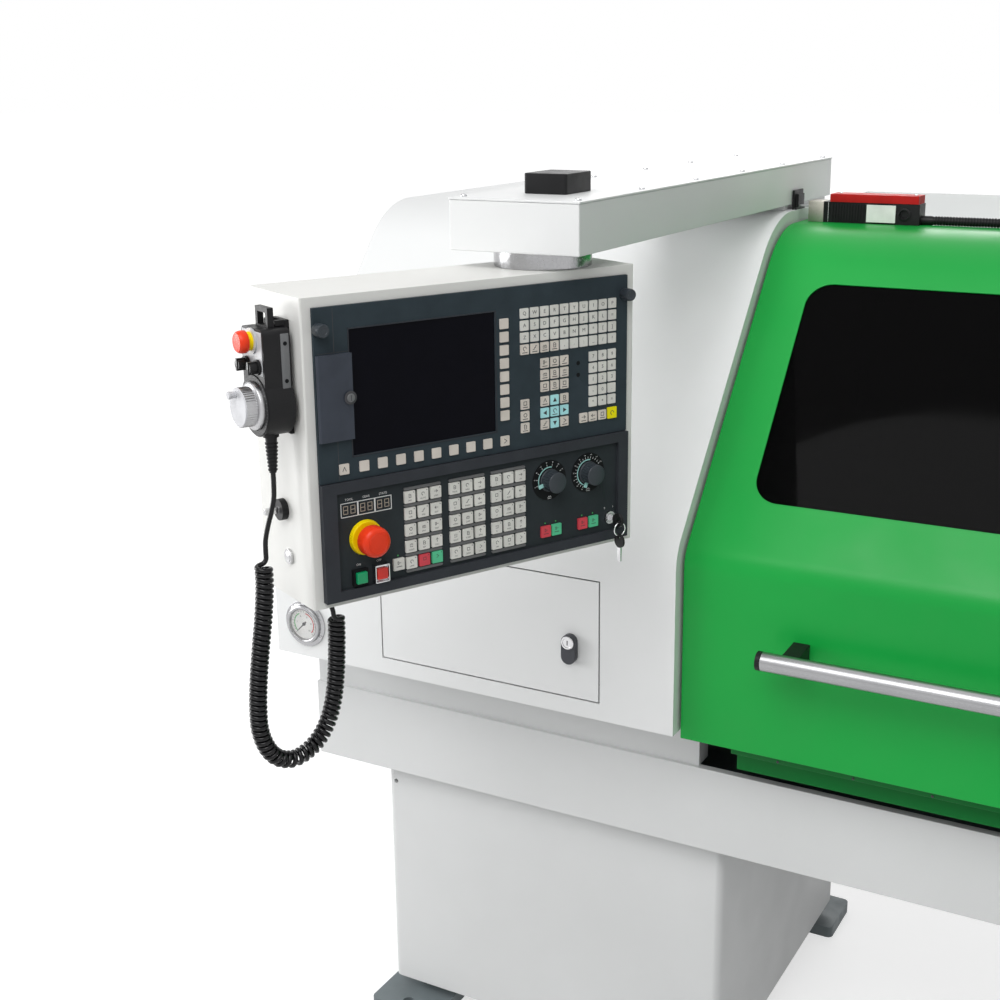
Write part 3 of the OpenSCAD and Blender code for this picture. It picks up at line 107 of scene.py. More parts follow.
class Grain(Enum):
    """Direction of the fine lines in brushed metal."""

    ALONG_X = (4.0, 900.0, 900.0)
    ROUND = (260.0, 260.0, 260.0)


class Graph:
    """Node tree of one material, with a shader and its output in place."""

    def __init__(self, name: str) -> None:
        """Starts an empty tree.

        Args:
            name: Name of the material.
        """
        self.material = bpy.data.materials.new(name)
        self.material.use_nodes = True
        self.tree = self.material.node_tree
        self.tree.nodes.clear()
        self.output = self.tree.nodes.new("ShaderNodeOutputMaterial")
        self.shader = self.tree.nodes.new("ShaderNodeBsdfPrincipled")
        self.link(self.shader.outputs[0], self.output.inputs["Surface"])
        self.place = self.add("ShaderNodeTexCoord").outputs["Object"]

    def add(self, kind: str, **values: object) -> bpy.types.Node:
        """Adds a node and sets its inputs.

        Args:
            kind: Blender's name of the node type.
            values: Input values by socket name, with spaces written as underscores.

        Returns:
            The new node.
        """
        node = self.tree.nodes.new(kind)
        for key, value in values.items():
            node.inputs[key.replace("_", " ")].default_value = value
        return node

    def link(self, source: Socket, target: Socket) -> None:
        """Joins two sockets."""
        self.tree.links.new(source, target)

    def set(self, **values: object) -> None:
        """Sets plain values on the shader's own sockets."""
        for key, value in values.items():
            self.shader.inputs[key.replace("_", " ")].default_value = value

    def noise(self, scale: float, detail: float = 3.0, stretch: Optional[Point] = None) -> Socket:
        """Adds a noise pattern on the piece's own coordinates.

        Args:
            scale: Pattern repeats per metre.
            detail: Number of finer layers.
            stretch: Scale along each axis, for brushed or drawn surfaces.

        Returns:
            The pattern's value, about 0.5 on average.
        """
        node = self.add("ShaderNodeTexNoise", Scale=scale, Detail=detail)
        place = self.place
        if stretch is not None:
            mapping = self.add("ShaderNodeMapping", Scale=stretch)
            self.link(place, mapping.inputs["Vector"])
            place = mapping.outputs["Vector"]
        self.link(place, node.inputs["Vector"])
        return node.outputs["Fac"]

    def between(self, value: Socket, low: float, high: float,
                start: float = 0.3, stop: float = 0.7) -> Socket:
        """Maps a pattern to a range of numbers.

        Args:
            value: Pattern to map.
            low: Result at start.
            high: Result at stop.
            start: Pattern value that gives low.
            stop: Pattern value that gives high.

        Returns:
            The mapped value.
        """
        node = self.add("ShaderNodeMapRange", From_Min=start, From_Max=stop, To_Min=low, To_Max=high)
        self.link(value, node.inputs["Value"])
        return node.outputs["Result"]

    def tone(self, colour: Colour, scale: float, detail: float, low: float, high: float) -> None:
        """Clouds the base colour between two shades of it.

        Args:
            colour: Colour of the finish.
            scale: Clouds per metre.
            detail: Number of finer layers.
            low: Factor of the darker shade.
            high: Factor of the lighter shade.
        """
        node = self.tree.nodes.new("ShaderNodeMix")
        node.data_type = "RGBA"
        for socket, factor in ((6, low), (7, high)):
            node.inputs[socket].default_value = (*shade(colour, factor), 1.0)
        self.link(self.between(self.noise(scale, detail), 0.0, 1.0), node.inputs[0])
        self.feed(node.outputs[2], "Base Color")

    def bump(self, value: Socket, strength: float, depth: float) -> None:
        """Presses a pattern into the surface.

        Args:
            value: Height pattern.
            strength: Share of the effect, 0 to 1.
            depth: Height of the pattern in metres.
        """
        node = self.add("ShaderNodeBump", Strength=strength, Distance=depth)
        self.link(value, node.inputs["Height"])
        self.link(node.outputs["Normal"], self.shader.inputs["Normal"])

    def feed(self, value: Socket, socket: str) -> None:
        """Joins a value to one of the shader's inputs."""
        self.link(value, self.shader.inputs[socket])


def shade(colour: Colour, factor: float) -> Colour:
    """Makes a colour lighter or darker by a factor."""
    return tuple(min(1.0, c * factor) for c in colour)


@dataclass(frozen=True)
class Paint:
    """Sprayed or powder-coated paint with orange peel, cloudy tone and wiped patches."""

    name: str
    colour: Colour
    roughness: float = 0.4
    peel: float = 0.25
    peel_scale: float = 620.0
    cloud: float = 0.04
    shine: float = 0.5

    def make(self) -> Material:
        """Builds the material."""
        g = Graph(self.name)
        g.tone(self.colour, 2.6, 5.0, 1 - self.cloud, 1 + self.cloud)
        g.feed(g.between(g.noise(14.0, 6.0), self.roughness - 0.06, self.roughness + 0.07), "Roughness")
        g.bump(g.noise(self.peel_scale, 2.0), self.peel, 0.00035)
        g.set(Specular_IOR_Level=self.shine)
        return g.material


@dataclass(frozen=True)
class Metal:
    """Bare metal with drawn or ground lines."""

    name: str
    colour: Colour
    roughness: float = 0.28
    grain: Grain = Grain.ROUND
    bite: float = 0.12

    def make(self) -> Material:
        """Builds the material."""
        g = Graph(self.name)
        lines = g.noise(1.0, 4.0, self.grain.value)
        g.tone(self.colour, 9.0, 5.0, 0.9, 1.0)
        g.feed(g.between(lines, self.roughness - 0.08, self.roughness + 0.1), "Roughness")
        g.bump(lines, self.bite, 0.0001)
        g.set(Metallic=1.0)
        return g.material


@dataclass(frozen=True)
class Casting:
    """Filled and painted iron casting with a coarse skin."""

    name: str
    colour: Colour
    roughness: float = 0.5

    def make(self) -> Material:
        """Builds the material."""
        g = Graph(self.name)
        g.tone(self.colour, 7.0, 6.0, 0.85, 1.1)
        g.feed(g.between(g.noise(30.0, 5.0), self.roughness - 0.1, self.roughness + 0.12), "Roughness")
        g.bump(g.noise(160.0, 5.0), 0.35, 0.0008)
        return g.material


@dataclass(frozen=True)
class Plastic:
    """Moulded plastic with a fine grain and rubbed patches."""

    name: str
    colour: Colour
    roughness: float = 0.42
    grain: float = 1500.0
    bite: float = 0.2
    shine: float = 0.5

    def make(self) -> Material:
        """Builds the material."""
        g = Graph(self.name)
        g.tone(self.colour, 35.0, 4.0, 0.9, 1.08)
        g.feed(g.between(g.noise(60.0, 5.0), self.roughness - 0.07, self.roughness + 0.07), "Roughness")
        g.bump(g.noise(self.grain, 2.0), self.bite, 0.0002)
        g.set(Specular_IOR_Level=self.shine)
        return g.material


@dataclass(frozen=True)
class Ink:
    """Printed or moulded-in sign; the dark ink also stands in as painted shade in hollows and grooves."""

    name: str
    colour: Colour

    def make(self) -> Material:
        """Builds the material."""
        g = Graph(self.name)
        g.tone(self.colour, 240.0, 3.0, 0.93, 1.0)
        g.set(Roughness=0.5)
        return g.material


@dataclass(frozen=True)
class Glass:
    """Clear or tinted pane with faint wiping marks."""

    name: str
    colour: Colour
    roughness: float = 0.03
    clear: float = 1.0
    bending: float = 1.5

    def make(self) -> Material:
        """Builds the material."""
        g = Graph(self.name)
        g.feed(g.between(g.noise(6.0, 6.0, (1.0, 1.0, 4.0)), self.roughness, self.roughness + 0.05, 0.45, 0.75),
               "Roughness")
        g.tone(self.colour, 3.0, 3.0, 0.92, 1.0)
        g.set(Transmission_Weight=self.clear, IOR=self.bending)
        return g.material


class Stock:
    """All finishes of the machine, made once."""

    FINISHES = (
        Paint("cover_paint", (0.82, 0.83, 0.83), 0.42, 0.3, 620.0, 0.025),
        Paint("housing_paint", (0.78, 0.78, 0.755), 0.45, 0.34, 700.0, 0.03),
        Paint("door_paint", (0.006, 0.36, 0.052), 0.36, 0.2, 500.0, 0.05, 0.28),
        # Darker green of the door's apron: painted shade for the shadow under the door's lower edge.
        Paint("door_apron_painted_shade", (0.003, 0.16, 0.028), 0.42, 0.3, 500.0, 0.05, 0.15),
        Paint("base_paint", (0.72, 0.73, 0.73), 0.46, 0.34, 620.0, 0.04),
        Paint("motor_paint", (0.03, 0.03, 0.033), 0.5, 0.3, 500.0, 0.1),
        Casting("cast_paint", (0.16, 0.19, 0.20)),
        Casting("slide_iron", (0.30, 0.31, 0.32), 0.4),
        Metal("ground_steel", (0.56, 0.57, 0.58), 0.25, Grain.ROUND, 0.08),
        Metal("polished_steel", (0.60, 0.60, 0.61), 0.14, Grain.ROUND, 0.03),
        Metal("satin_steel", (0.47, 0.47, 0.48), 0.34, Grain.ROUND, 0.01),
        Metal("brushed_tube", (0.36, 0.36, 0.37), 0.30, Grain.ALONG_X, 0.12),
        Metal("zinc_head", (0.40, 0.385, 0.34), 0.5, Grain.ROUND, 0.05),
        Metal("ring_steel", (0.40, 0.40, 0.41), 0.2, Grain.ROUND, 0.05),
        Metal("winding", (0.45, 0.20, 0.08), 0.4, Grain.ROUND, 0.3),
        Plastic("black_plastic", (0.010, 0.010, 0.011), 0.4, 1500.0, 0.2, 0.2),
        Plastic("cord_rubber", (0.004, 0.004, 0.005), 0.17, 900.0, 0.05, 0.26),
        Plastic("grey_plastic", (0.14, 0.145, 0.15), 0.42),
        Plastic("drive_grey", (0.09, 0.095, 0.10), 0.45),
        Plastic("latch_grey", (0.060, 0.063, 0.072), 0.42, 1500.0, 0.15, 0.25),
        Plastic("panel_film", (0.036, 0.050, 0.060), 0.5, 2600.0, 0.2, 0.08),
        Plastic("panel_film_dark", (0.030, 0.037, 0.041), 0.5, 2600.0, 0.2, 0.08),
        Plastic("flap_film", (0.052, 0.060, 0.078), 0.45, 2600.0, 0.2, 0.15),
        Plastic("face_silver", (0.52, 0.53, 0.55), 0.36, 2600.0, 0.1),
        Plastic("wheel_face", (0.62, 0.625, 0.65), 0.42, 2600.0, 0.1, 0.2),
        Plastic("rim_film", (0.040, 0.044, 0.052), 0.42, 2600.0, 0.2, 0.1),
        Plastic("ridge_grey", (0.13, 0.132, 0.135), 0.4, 2600.0, 0.2, 0.3),
        Plastic("knob_slate", (0.035, 0.043, 0.052), 0.36, 2000.0, 0.1, 0.3),
        Plastic("key_white", (0.76, 0.75, 0.71), 0.5, 2600.0, 0.2),
        Plastic("key_cream", (0.72, 0.66, 0.60), 0.5, 2600.0, 0.2),
        Plastic("key_cyan", (0.46, 0.86, 0.90), 0.5, 2600.0, 0.2, 0.3),
        Plastic("key_yellow", (0.98, 0.84, 0.005), 0.5, 2600.0, 0.2, 0.2),
        Plastic("key_red", (0.66, 0.05, 0.075), 0.45, 2600.0, 0.2),
        Plastic("key_mint", (0.09, 0.58, 0.30), 0.45, 2600.0, 0.2),
        Plastic("key_green", (0.0, 0.32, 0.12), 0.4, 2600.0, 0.2),
        Plastic("push_red", (0.72, 0.03, 0.02), 0.4, 2600.0, 0.2),
        Plastic("stop_red", (0.90, 0.050, 0.012), 0.34, 900.0, 0.06, 0.25),
        Plastic("lid_red", (0.55, 0.02, 0.02), 0.5, 1200.0, 0.1, 0.1),
        Plastic("stop_yellow", (0.98, 0.70, 0.0), 0.42, 1200.0, 0.1, 0.25),
        Plastic("screen_black", (0.003, 0.003, 0.006), 0.14, 3000.0, 0.02, 0.04),
        Plastic("dial_white", (0.85, 0.85, 0.83), 0.4, 2600.0, 0.05),
        Plastic("dial_black", (0.010, 0.011, 0.012), 0.5, 2600.0, 0.1, 0.06),
        # Dark ink for real print, also used as painted shade in screw sockets, key slots, the flap lock's ring and
        # the panel seams.
        Ink("dark_ink_and_painted_shade", (0.03, 0.03, 0.035)),
        Ink("ink_white", (0.80, 0.82, 0.82)),
        Ink("ink_turquoise", (0.40, 0.76, 0.72)),
        Ink("ink_beige", (0.42, 0.36, 0.29)),
        Ink("ink_green", (0.05, 0.45, 0.10)),
        Ink("ink_red", (0.65, 0.03, 0.03)),
        Glass("door_pane", (0.013, 0.0125, 0.0135), 0.03, 0.85, 1.1),
        Glass("gauge_glass", (0.98, 0.98, 0.98), 0.0, 1.0),
    )

    def __init__(self) -> None:
        """Makes every finish."""
        self.made = {f.name: f.make() for f in self.FINISHES}

    def __getitem__(self, name: str) -> Material:
        """Gives a finish by name."""
        return self.made[name]


class Shop:
    """Workbench: turns bmesh work and CAD copies into finished pieces that ride on their bodies."""

    def __init__(self, frame: dict, stock: Stock) -> None:
        """Keeps the frame and the finishes.

        Args:
            stock: The finishes.
        """
        self.nodes = frame["nodes"]
        self.node_body = {n: b for b, ns in frame["record"]["behaviour"]["bodies"].items() for n in ns}
        self.node_slot = {s["node"]: s["material_slot"] for s in frame["record"]["subparts"]}
        self.stock = stock

    def piece(self, name: str, bm: BMesh, finishes: Sequence[str], body: str, slot: str,
              sharp: float = SHARP, replaces: Sequence[str] = ()) -> bpy.types.Object:
        """Makes an object of a bmesh that is in metres and in place.

        Args:
            name: Name of the piece.
            bm: Shape of the piece; it is freed.
            finishes: Names of the finishes, in the order of the faces' material numbers.
            body: CAD body that the piece moves with.
            slot: Slot of the record; not used.
            sharp: Edges over this angle stay sharp, in degrees.
            replaces: CAD nodes that the piece stands for.

        Returns:
            The new object.
        """
        mesh = bpy.data.meshes.new(name)
        bm.to_mesh(mesh)
        bm.free()
        for finish in finishes:
            mesh.materials.append(self.stock[finish])
        mesh.shade_smooth()
        mesh.set_sharp_from_angle(angle=math.radians(sharp))
        obj = bpy.data.objects.new(name, mesh)
        bpy.context.scene.collection.objects.link(obj)
        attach(obj, body)
        if replaces:
            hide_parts(*replaces)
        log.info("piece %s: %d faces", name, len(mesh.polygons))
        return obj

    def node_copy(self, node: str) -> BMesh:
        """Gives a CAD node's shape as a merged bmesh with its flat faces joined.

        Args:
            node: Name of the CAD node.

        Returns:
            The shape, in metres.
        """
        bm = bmesh.new()
        bm.from_mesh(self.nodes[node].data)
        bmesh.ops.remove_doubles(bm, verts=bm.verts, dist=0.00001)
        bmesh.ops.dissolve_limit(bm, angle_limit=math.radians(0.2), verts=bm.verts, edges=bm.edges,
                                 use_dissolve_boundaries=False, delimit=set())
        for face in bm.faces:
            face.material_index = 0
        return bm

    def dress(self, node: str, finish: str, edge: float, others: Sequence[str] = (), rule: Optional[Rule] = None,
              place: Matrix = Matrix.Identity(4)) -> bpy.types.Object:
        """Replaces a CAD node by its own shape with eased edges, smooth bends and a finish.

        Args:
            node: Name of the CAD node.
            finish: Name of its finish.
            edge: Width of the eased edges in millimetres, or 0 for none.
            others: Finishes with the numbers 1 and up.
            rule: Gives a face's material number by its middle, in millimetres.
            place: Frame in which the middle is measured.

        Returns:
            The new object.
        """
        bm = self.node_copy(node)
        if rule is not None:
            back = place.inverted()
            for face in bm.faces:
                face.material_index = rule(*(back @ (face.calc_center_median() / MM)))
        obj = self.piece(f"{node}_dressed", bm, [finish, *others], self.node_body[node], self.node_slot[node],
                         SMOOTH_BEND, [node])
        if edge > 0:
            bevel = obj.modifiers.new("eased_edges", "BEVEL")
            bevel.width = edge * MM
            bevel.segments = EASED_STEPS
            bevel.limit_method = "ANGLE"
            bevel.angle_limit = math.radians(SMOOTH_BEND)
            bevel.use_clamp_overlap = True
            bevel.harden_normals = True
        return obj

    def dress_all(self, dressed: Dressed) -> None:
        """Dresses nodes that have one finish each."""
        for node, finish, edge in dressed:
            self.dress(node, finish, edge)


def at(x: float, y: float, z: float = 0.0) -> Matrix:
    """Gives a plain shift."""
    return Matrix.Translation((x, y, z))


def block(bm: BMesh, low: Point, high: Point, edge: float, steps: int, number: int) -> None:
    """Adds a box with eased edges, in millimetres.

    Args:
        bm: Shape to add to.
        low: Lowest corner.
        high: Highest corner.
        edge: Width of the eased edges.
        steps: Steps across an eased edge.
        number: Material number of the faces.
    """
    size = [h - l for l, h in zip(low, high)]
    middle = [(h + l) / 2 for l, h in zip(low, high)]
    place = Matrix.Translation(middle) @ Matrix.Diagonal((*size, 1.0))
    part = bmesh.new()
    bmesh.ops.create_cube(part, size=1.0, matrix=place)
    bmesh.ops.bevel(part, geom=part.edges[:], offset=edge, offset_type="OFFSET", affect="EDGES", segments=steps,
                    profile=0.5, material=-1, clamp_overlap=True)
    absorb(bm, part, Matrix.Identity(4), number)


def turned(bm: BMesh, outline: Sequence[Flat], place: Matrix, steps: int, number: int) -> None:
    """Adds a turned part: an outline of radius and height, spun about the local Z axis.

    Args:
        bm: Shape to add to.
        outline: Radius and height of each point, from the axis round to the axis.
        place: Place and direction of the axis.
        steps: Facets round the axis.
        number: Material number of the faces.
    """
    part = bmesh.new()
    verts = [part.verts.new((r, 0.0, z)) for r, z in outline]
    edges = [part.edges.new(pair) for pair in zip(verts, verts[1:])]
    bmesh.ops.spin(part, geom=[*verts, *edges], cent=(0, 0, 0), axis=(0, 0, 1), angle=2 * math.pi, steps=steps,
                   use_merge=True)
    bmesh.ops.remove_doubles(part, verts=part.verts, dist=0.0005)
    bmesh.ops.recalc_face_normals(part, faces=part.faces)
    absorb(bm, part, place, number)


def absorb(bm: BMesh, part: BMesh, place: Matrix, number: Optional[int] = None) -> None:
    """Moves a part to its place and joins it to a shape.

    Args:
        bm: Shape to add to.
        part: Part to add; it is freed.
        place: Where the part goes.
        number: Material number of the faces, or None to keep theirs.
    """
    bmesh.ops.transform(part, matrix=place, verts=part.verts)
    mesh = bpy.data.meshes.new("part")
    part.to_mesh(mesh)
    part.free()
    start = len(bm.faces)
    bm.from_mesh(mesh)
    bpy.data.meshes.remove(mesh)
    bm.faces.ensure_lookup_table()
    if number is not None:
        for face in bm.faces[start:]:
            face.material_index = number


def plate(bm: BMesh, outline: Sequence[Flat], thick: float, place: Matrix, number: int = 0) -> None:
    """Adds a flat plate of any outline, raised along the local Z axis.

    Args:
        bm: Shape to add to.
        outline: Corners in the local XY plane.
        thick: Thickness.
        place: Place of the plate.
        number: Material number of the faces.
    """
    part = bmesh.new()
    face = part.faces.new([part.verts.new((x, y, 0.0)) for x, y in outline])
    grown = bmesh.ops.extrude_face_region(part, geom=[face])
    tops = [v for v in grown["geom"] if isinstance(v, bmesh.types.BMVert)]
    bmesh.ops.translate(part, vec=(0, 0, thick), verts=tops)
    bmesh.ops.recalc_face_normals(part, faces=part.faces)
    absorb(bm, part, place, number)


def letters(bm: BMesh, words: str, size: float, place: Matrix, number: int = 0) -> None:
    """Adds raised lettering centred on the local origin, facing local Z.

    Args:
        bm: Shape to add to.
        words: What is written.
        size: Height of the letters.
        place: Place of the lettering.
        number: Material number of the faces.
    """
    curve = bpy.data.curves.new("lettering", "FONT")
    curve.body = words
    curve.size = size
    curve.align_x = "CENTER"
    curve.align_y = "CENTER"
    curve.resolution_u = 2
    curve.extrude = PRINT / 2
    holder = bpy.data.objects.new("lettering", curve)
    bpy.context.scene.collection.objects.link(holder)
    graph = bpy.context.evaluated_depsgraph_get()
    mesh = bpy.data.meshes.new_from_object(holder.evaluated_get(graph))
    part = bmesh.new()
    part.from_mesh(mesh)
    bpy.data.objects.remove(holder)
    bpy.data.curves.remove(curve)
    bpy.data.meshes.remove(mesh)
    bmesh.ops.remove_doubles(part, verts=part.verts, dist=0.0005)
    absorb(bm, part, place, number)


def strokes(bm: BMesh, lines: Iterable[Sequence[Flat]], size: float, width: float,
            place: Matrix, number: int = 0, thick: float = 0.05) -> None:
    """Draws lines as thin raised bars facing local Z.

    Args:
        bm: Shape to add to.
        lines: Corner points of each line, in units of size.
        size: Scale of the points.
        width: Width of the lines.
        place: Place of the drawing.
        number: Material number of the faces.
        thick: Height of the print.
    """
    for line in lines:
        for start, stop in zip(line, line[1:]):
            a = Vector(start) * size
            b = Vector(stop) * size
            along = (b - a).normalized() * width / 2
            side = Vector((-along.y, along.x))
            corners = (a - along - side, b + along - side, b + along + side, a - along + side)
            plate(bm, [(c.x, c.y) for c in corners], thick, place, number)


def polar(radius: float, angle: float) -> Flat:
    """Gives the point at an angle in degrees."""
    return (radius * math.cos(math.radians(angle)), radius * math.sin(math.radians(angle)))


def arc(radius: float, start: float, stop: float, steps: int) -> list[Flat]:
    """Gives points on a circle between two angles in degrees."""
    return [polar(radius, start + (stop - start) * i / steps) for i in range(steps + 1)]


def band(inner: float, outer: float, start: float, stop: float, steps: int = 24) -> list[Flat]:
    """Gives the outline of a part of a flat ring."""
    return [*arc(inner, start, stop, steps), *reversed(arc(outer, start, stop, steps))]


def fluted(bm: BMesh, radii: Sequence[float], thick: float, place: Matrix) -> None:
    """Adds a round plate whose rim takes the given radii in turn."""
    plate(bm, [polar(r, 360 * i / len(radii)) for i, r in enumerate(radii)], thick, place)


def tick(bm: BMesh, angle: float, reach: Flat, width: float, place: Matrix, number: int = 0,
         thick: float = 0.05) -> None:
    """Adds one line of a round scale.

    Args:
        bm: Shape to add to.
        angle: Direction of the line in degrees.
        reach: Inner and outer radius.
        width: Width of the line.
        place: Middle of the scale.
        number: Material number of the faces.
        thick: Height of the print.
    """
    strokes(bm, [[polar(r, angle) for r in reach]], 1.0, width, place, number, thick)


def screw(bm: BMesh, place: Matrix, size: float, number: int = 0, slot_number: int = 0) -> None:
    """Adds a round screw head whose hexagon socket is a flat plate of painted shade, standing on the local XY plane.

    Args:
        bm: Shape to add to.
        place: Place of the screw.
        size: Diameter of the head.
        number: Material number of the head.
        slot_number: Material number of the socket, a flat plate that stands for the hollow as painted shade.
    """
    r = size / 2
    turned(bm, [(r, 0), (r, r * 0.35), (r * 0.85, r * 0.62), (r * 0.5, r * 0.72), (0, r * 0.72)], place, 20, number)
    # The socket is a flat dark plate: painted shade for its hollow.
    plate(bm, arc(r * 0.42, 0, 300, 5), 0.1, place @ at(0, 0, r * 0.7), slot_number)


def to_metres(bm: BMesh, place: Matrix = Matrix.Identity(4)) -> BMesh:
    """Moves a shape in millimetres to its place and scales it to metres."""
    bmesh.ops.transform(bm, matrix=Matrix.Scale(MM, 4) @ place, verts=bm.verts)
    return bm


def smooth_route(points: Sequence[Point], steps: int) -> list[Vector]:
    """Runs a smooth curve through points.

    Args:
        points: Points chosen along the route.
        steps: Steps between two points.

    Returns:
        Points on the curve.
    """
    p = [Vector(q) for q in points]
    p = [2 * p[0] - p[1], *p, 2 * p[-1] - p[-2]]
    route = []
    for a, b, c, d in zip(p, p[1:], p[2:], p[3:]):
        for i in range(steps):
            t = i / steps
            route.append(0.5 * (2 * b + (c - a) * t + (2 * a - 5 * b + 4 * c - d) * t * t
                                + (3 * b - a - 3 * c + d) * t ** 3))
    route.append(p[-2])
    return route


@dataclass
class PendantFrame:
    """Place of the pendant: X from the left end of the panels, Y inwards, Z up from the floor."""

    swivel: Point = (-706.0, -736.0, 0.0)
    yaw: float = 63.7
    axis_u: float = 397.0
    axis_back: float = 80.0
    line_z: float = 1356.0
    unit_x: float = -56.0

    @property
    def matrix(self) -> Matrix:
        """Pendant frame to machine frame, in millimetres."""
        turn = Matrix.Rotation(math.radians(self.yaw), 4, "Z")
        return at(*self.swivel) @ turn @ at(-self.axis_u, -self.axis_back)

    def front(self, u: float, v: float, out: float = 0.0, turn: float = 0.0) -> Matrix:
        """Place on the panel fronts in the pendant frame, local Z towards the operator."""
        return at(u, -out, self.line_z + v) @ FRONT @ Matrix.Rotation(math.radians(turn), 4, "Z")

    def side(self, y: float, z: float, out: float = 0.0) -> Matrix:
        """Place on the hand unit's face in the pendant frame, local Z away from the pendant."""
        facing = Matrix(((0, 0, -1, 0), (-1, 0, 0, 0), (0, 1, 0, 0), (0, 0, 0, 1)))
        return at(self.unit_x - out, y, z) @ facing


@dataclass
class CurlyCord:
    """Curly cord of the hand unit: a straight lead, the coil, and a short lead into the housing."""

    shop: Shop
    frame: PendantFrame
    cord_d: float = 6.5
    coil_d: float = 24.0
    points_per_turn: int = 14
    spacing: float = 1.04
    end_bend: float = 8.0
    first_angle: float = math.pi / 2
    lead_in: tuple[Point, ...] = (
        (-38, 52, 1368), (-38, 52, 1352), (-39, 52, 1335), (-43, 52.5, 1318), (-48, 54, 1300), (-51.5, 56, 1282),
        (-52, 56.75, 1268), (-52, 56.75, 1258),
    )
    coil: tuple[Point, ...] = (
        (-60, 48, 1250), (-60, 48, 1225), (-64, 48, 1185), (-70, 48, 1145), (-76, 48, 1100), (-79, 48, 1060),
        (-78, 48, 1030), (-70, 48, 1004), (-56, 48, 986), (-36, 48, 978), (-16, 48, 982), (3, 48, 995),
        (18, 48, 1016), (28, 48, 1044), (34, 48, 1080), (37, 48, 1120), (38, 48, 1150), (38, 48, 1160),
    )
    lead_out: tuple[Point, ...] = (
        (30, 39.25, 1168), (29.6, 40.4, 1174), (28.6, 43.4, 1181), (28, 45, 1187), (28, 45, 1190),
    )

    def helix(self) -> list[Vector]:
        """Winds the cord round the coil's middle line, closer where it hangs straight.

        Returns:
            Points of the winding, in the pendant frame.
        """
        line = smooth_route(self.coil, 40)
        radius = (self.coil_d - self.cord_d) / 2
        across = Vector((0.0, 1.0, 0.0))
        angles = [0.0]
        for i in range(1, len(line)):
            step = (line[i] - line[i - 1]).length
            after = line[min(i + 1, len(line) - 1)]
            bend = 0.0
            if after != line[i]:
                bend = ((after - line[i]).normalized() - (line[i] - line[i - 1]).normalized()).length / step
            closer = max(0.6, 1.0 - radius * bend)
            angles.append(angles[-1] + 2 * math.pi * step / self.cord_d / self.spacing * closer)
        turns = round(angles[-1] / (2 * math.pi)) + 0.5
        scale = 2 * math.pi * turns / angles[-1]
        path = []
        count = int(turns * self.points_per_turn)
        i = 0
        for k in range(count + 1):
            wanted = 2 * math.pi * turns * k / count
            while i < len(line) - 2 and angles[i + 1] * scale < wanted:
                i += 1
            share = min(1.0, (wanted / scale - angles[i]) / (angles[i + 1] - angles[i]))
            middle = line[i].lerp(line[i + 1], share)
            side = (line[i + 1] - line[i]).normalized().cross(across).normalized()
            angle = self.first_angle + wanted
            path.append(middle + radius * (math.cos(angle) * side + math.sin(angle) * across))
        return path

    def corner(self, start: Vector, ahead: Point, aside: Point) -> list[Vector]:
        """Gives a quarter bend from one direction into another, without its ends."""
        a = Vector(ahead)
        b = Vector(aside)
        turns = [math.pi / 2 * i / 6 for i in range(1, 6)]
        return [start + self.end_bend * (math.sin(t) * a + (1 - math.cos(t)) * b) for t in turns]

    def build(self) -> None:
        """Makes the cord as one curve."""
        lead = smooth_route(self.lead_in, 5)
        coil = self.helix()
        tail = smooth_route(self.lead_out, 4)
        first = self.corner(lead[-1], (0, 0, -1), (-1, 0, 0))
        last = self.corner(coil[-1], (-1, 0, 0), (0, 0, 1))
        place = Matrix.Scale(MM, 4) @ self.frame.matrix
        path = [place @ p for p in [*lead, *first, *coil, *last, *tail]]
        curve = bpy.data.curves.new("curly_cord", "CURVE")
        curve.dimensions = "3D"
        curve.bevel_depth = self.cord_d / 2 * MM
        curve.bevel_resolution = 3
        curve.use_fill_caps = True
        spline = curve.splines.new("POLY")
        spline.points.add(len(path) - 1)
        for point, co in zip(spline.points, path):
            point.co = (*co, 1.0)
        spline.use_smooth = True
        curve.materials.append(self.shop.stock["cord_rubber"])
        obj = bpy.data.objects.new("curly_cord", curve)
        bpy.context.scene.collection.objects.link(obj)
        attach(obj, "pendant")
        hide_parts("cord_leads", "coil_cord")


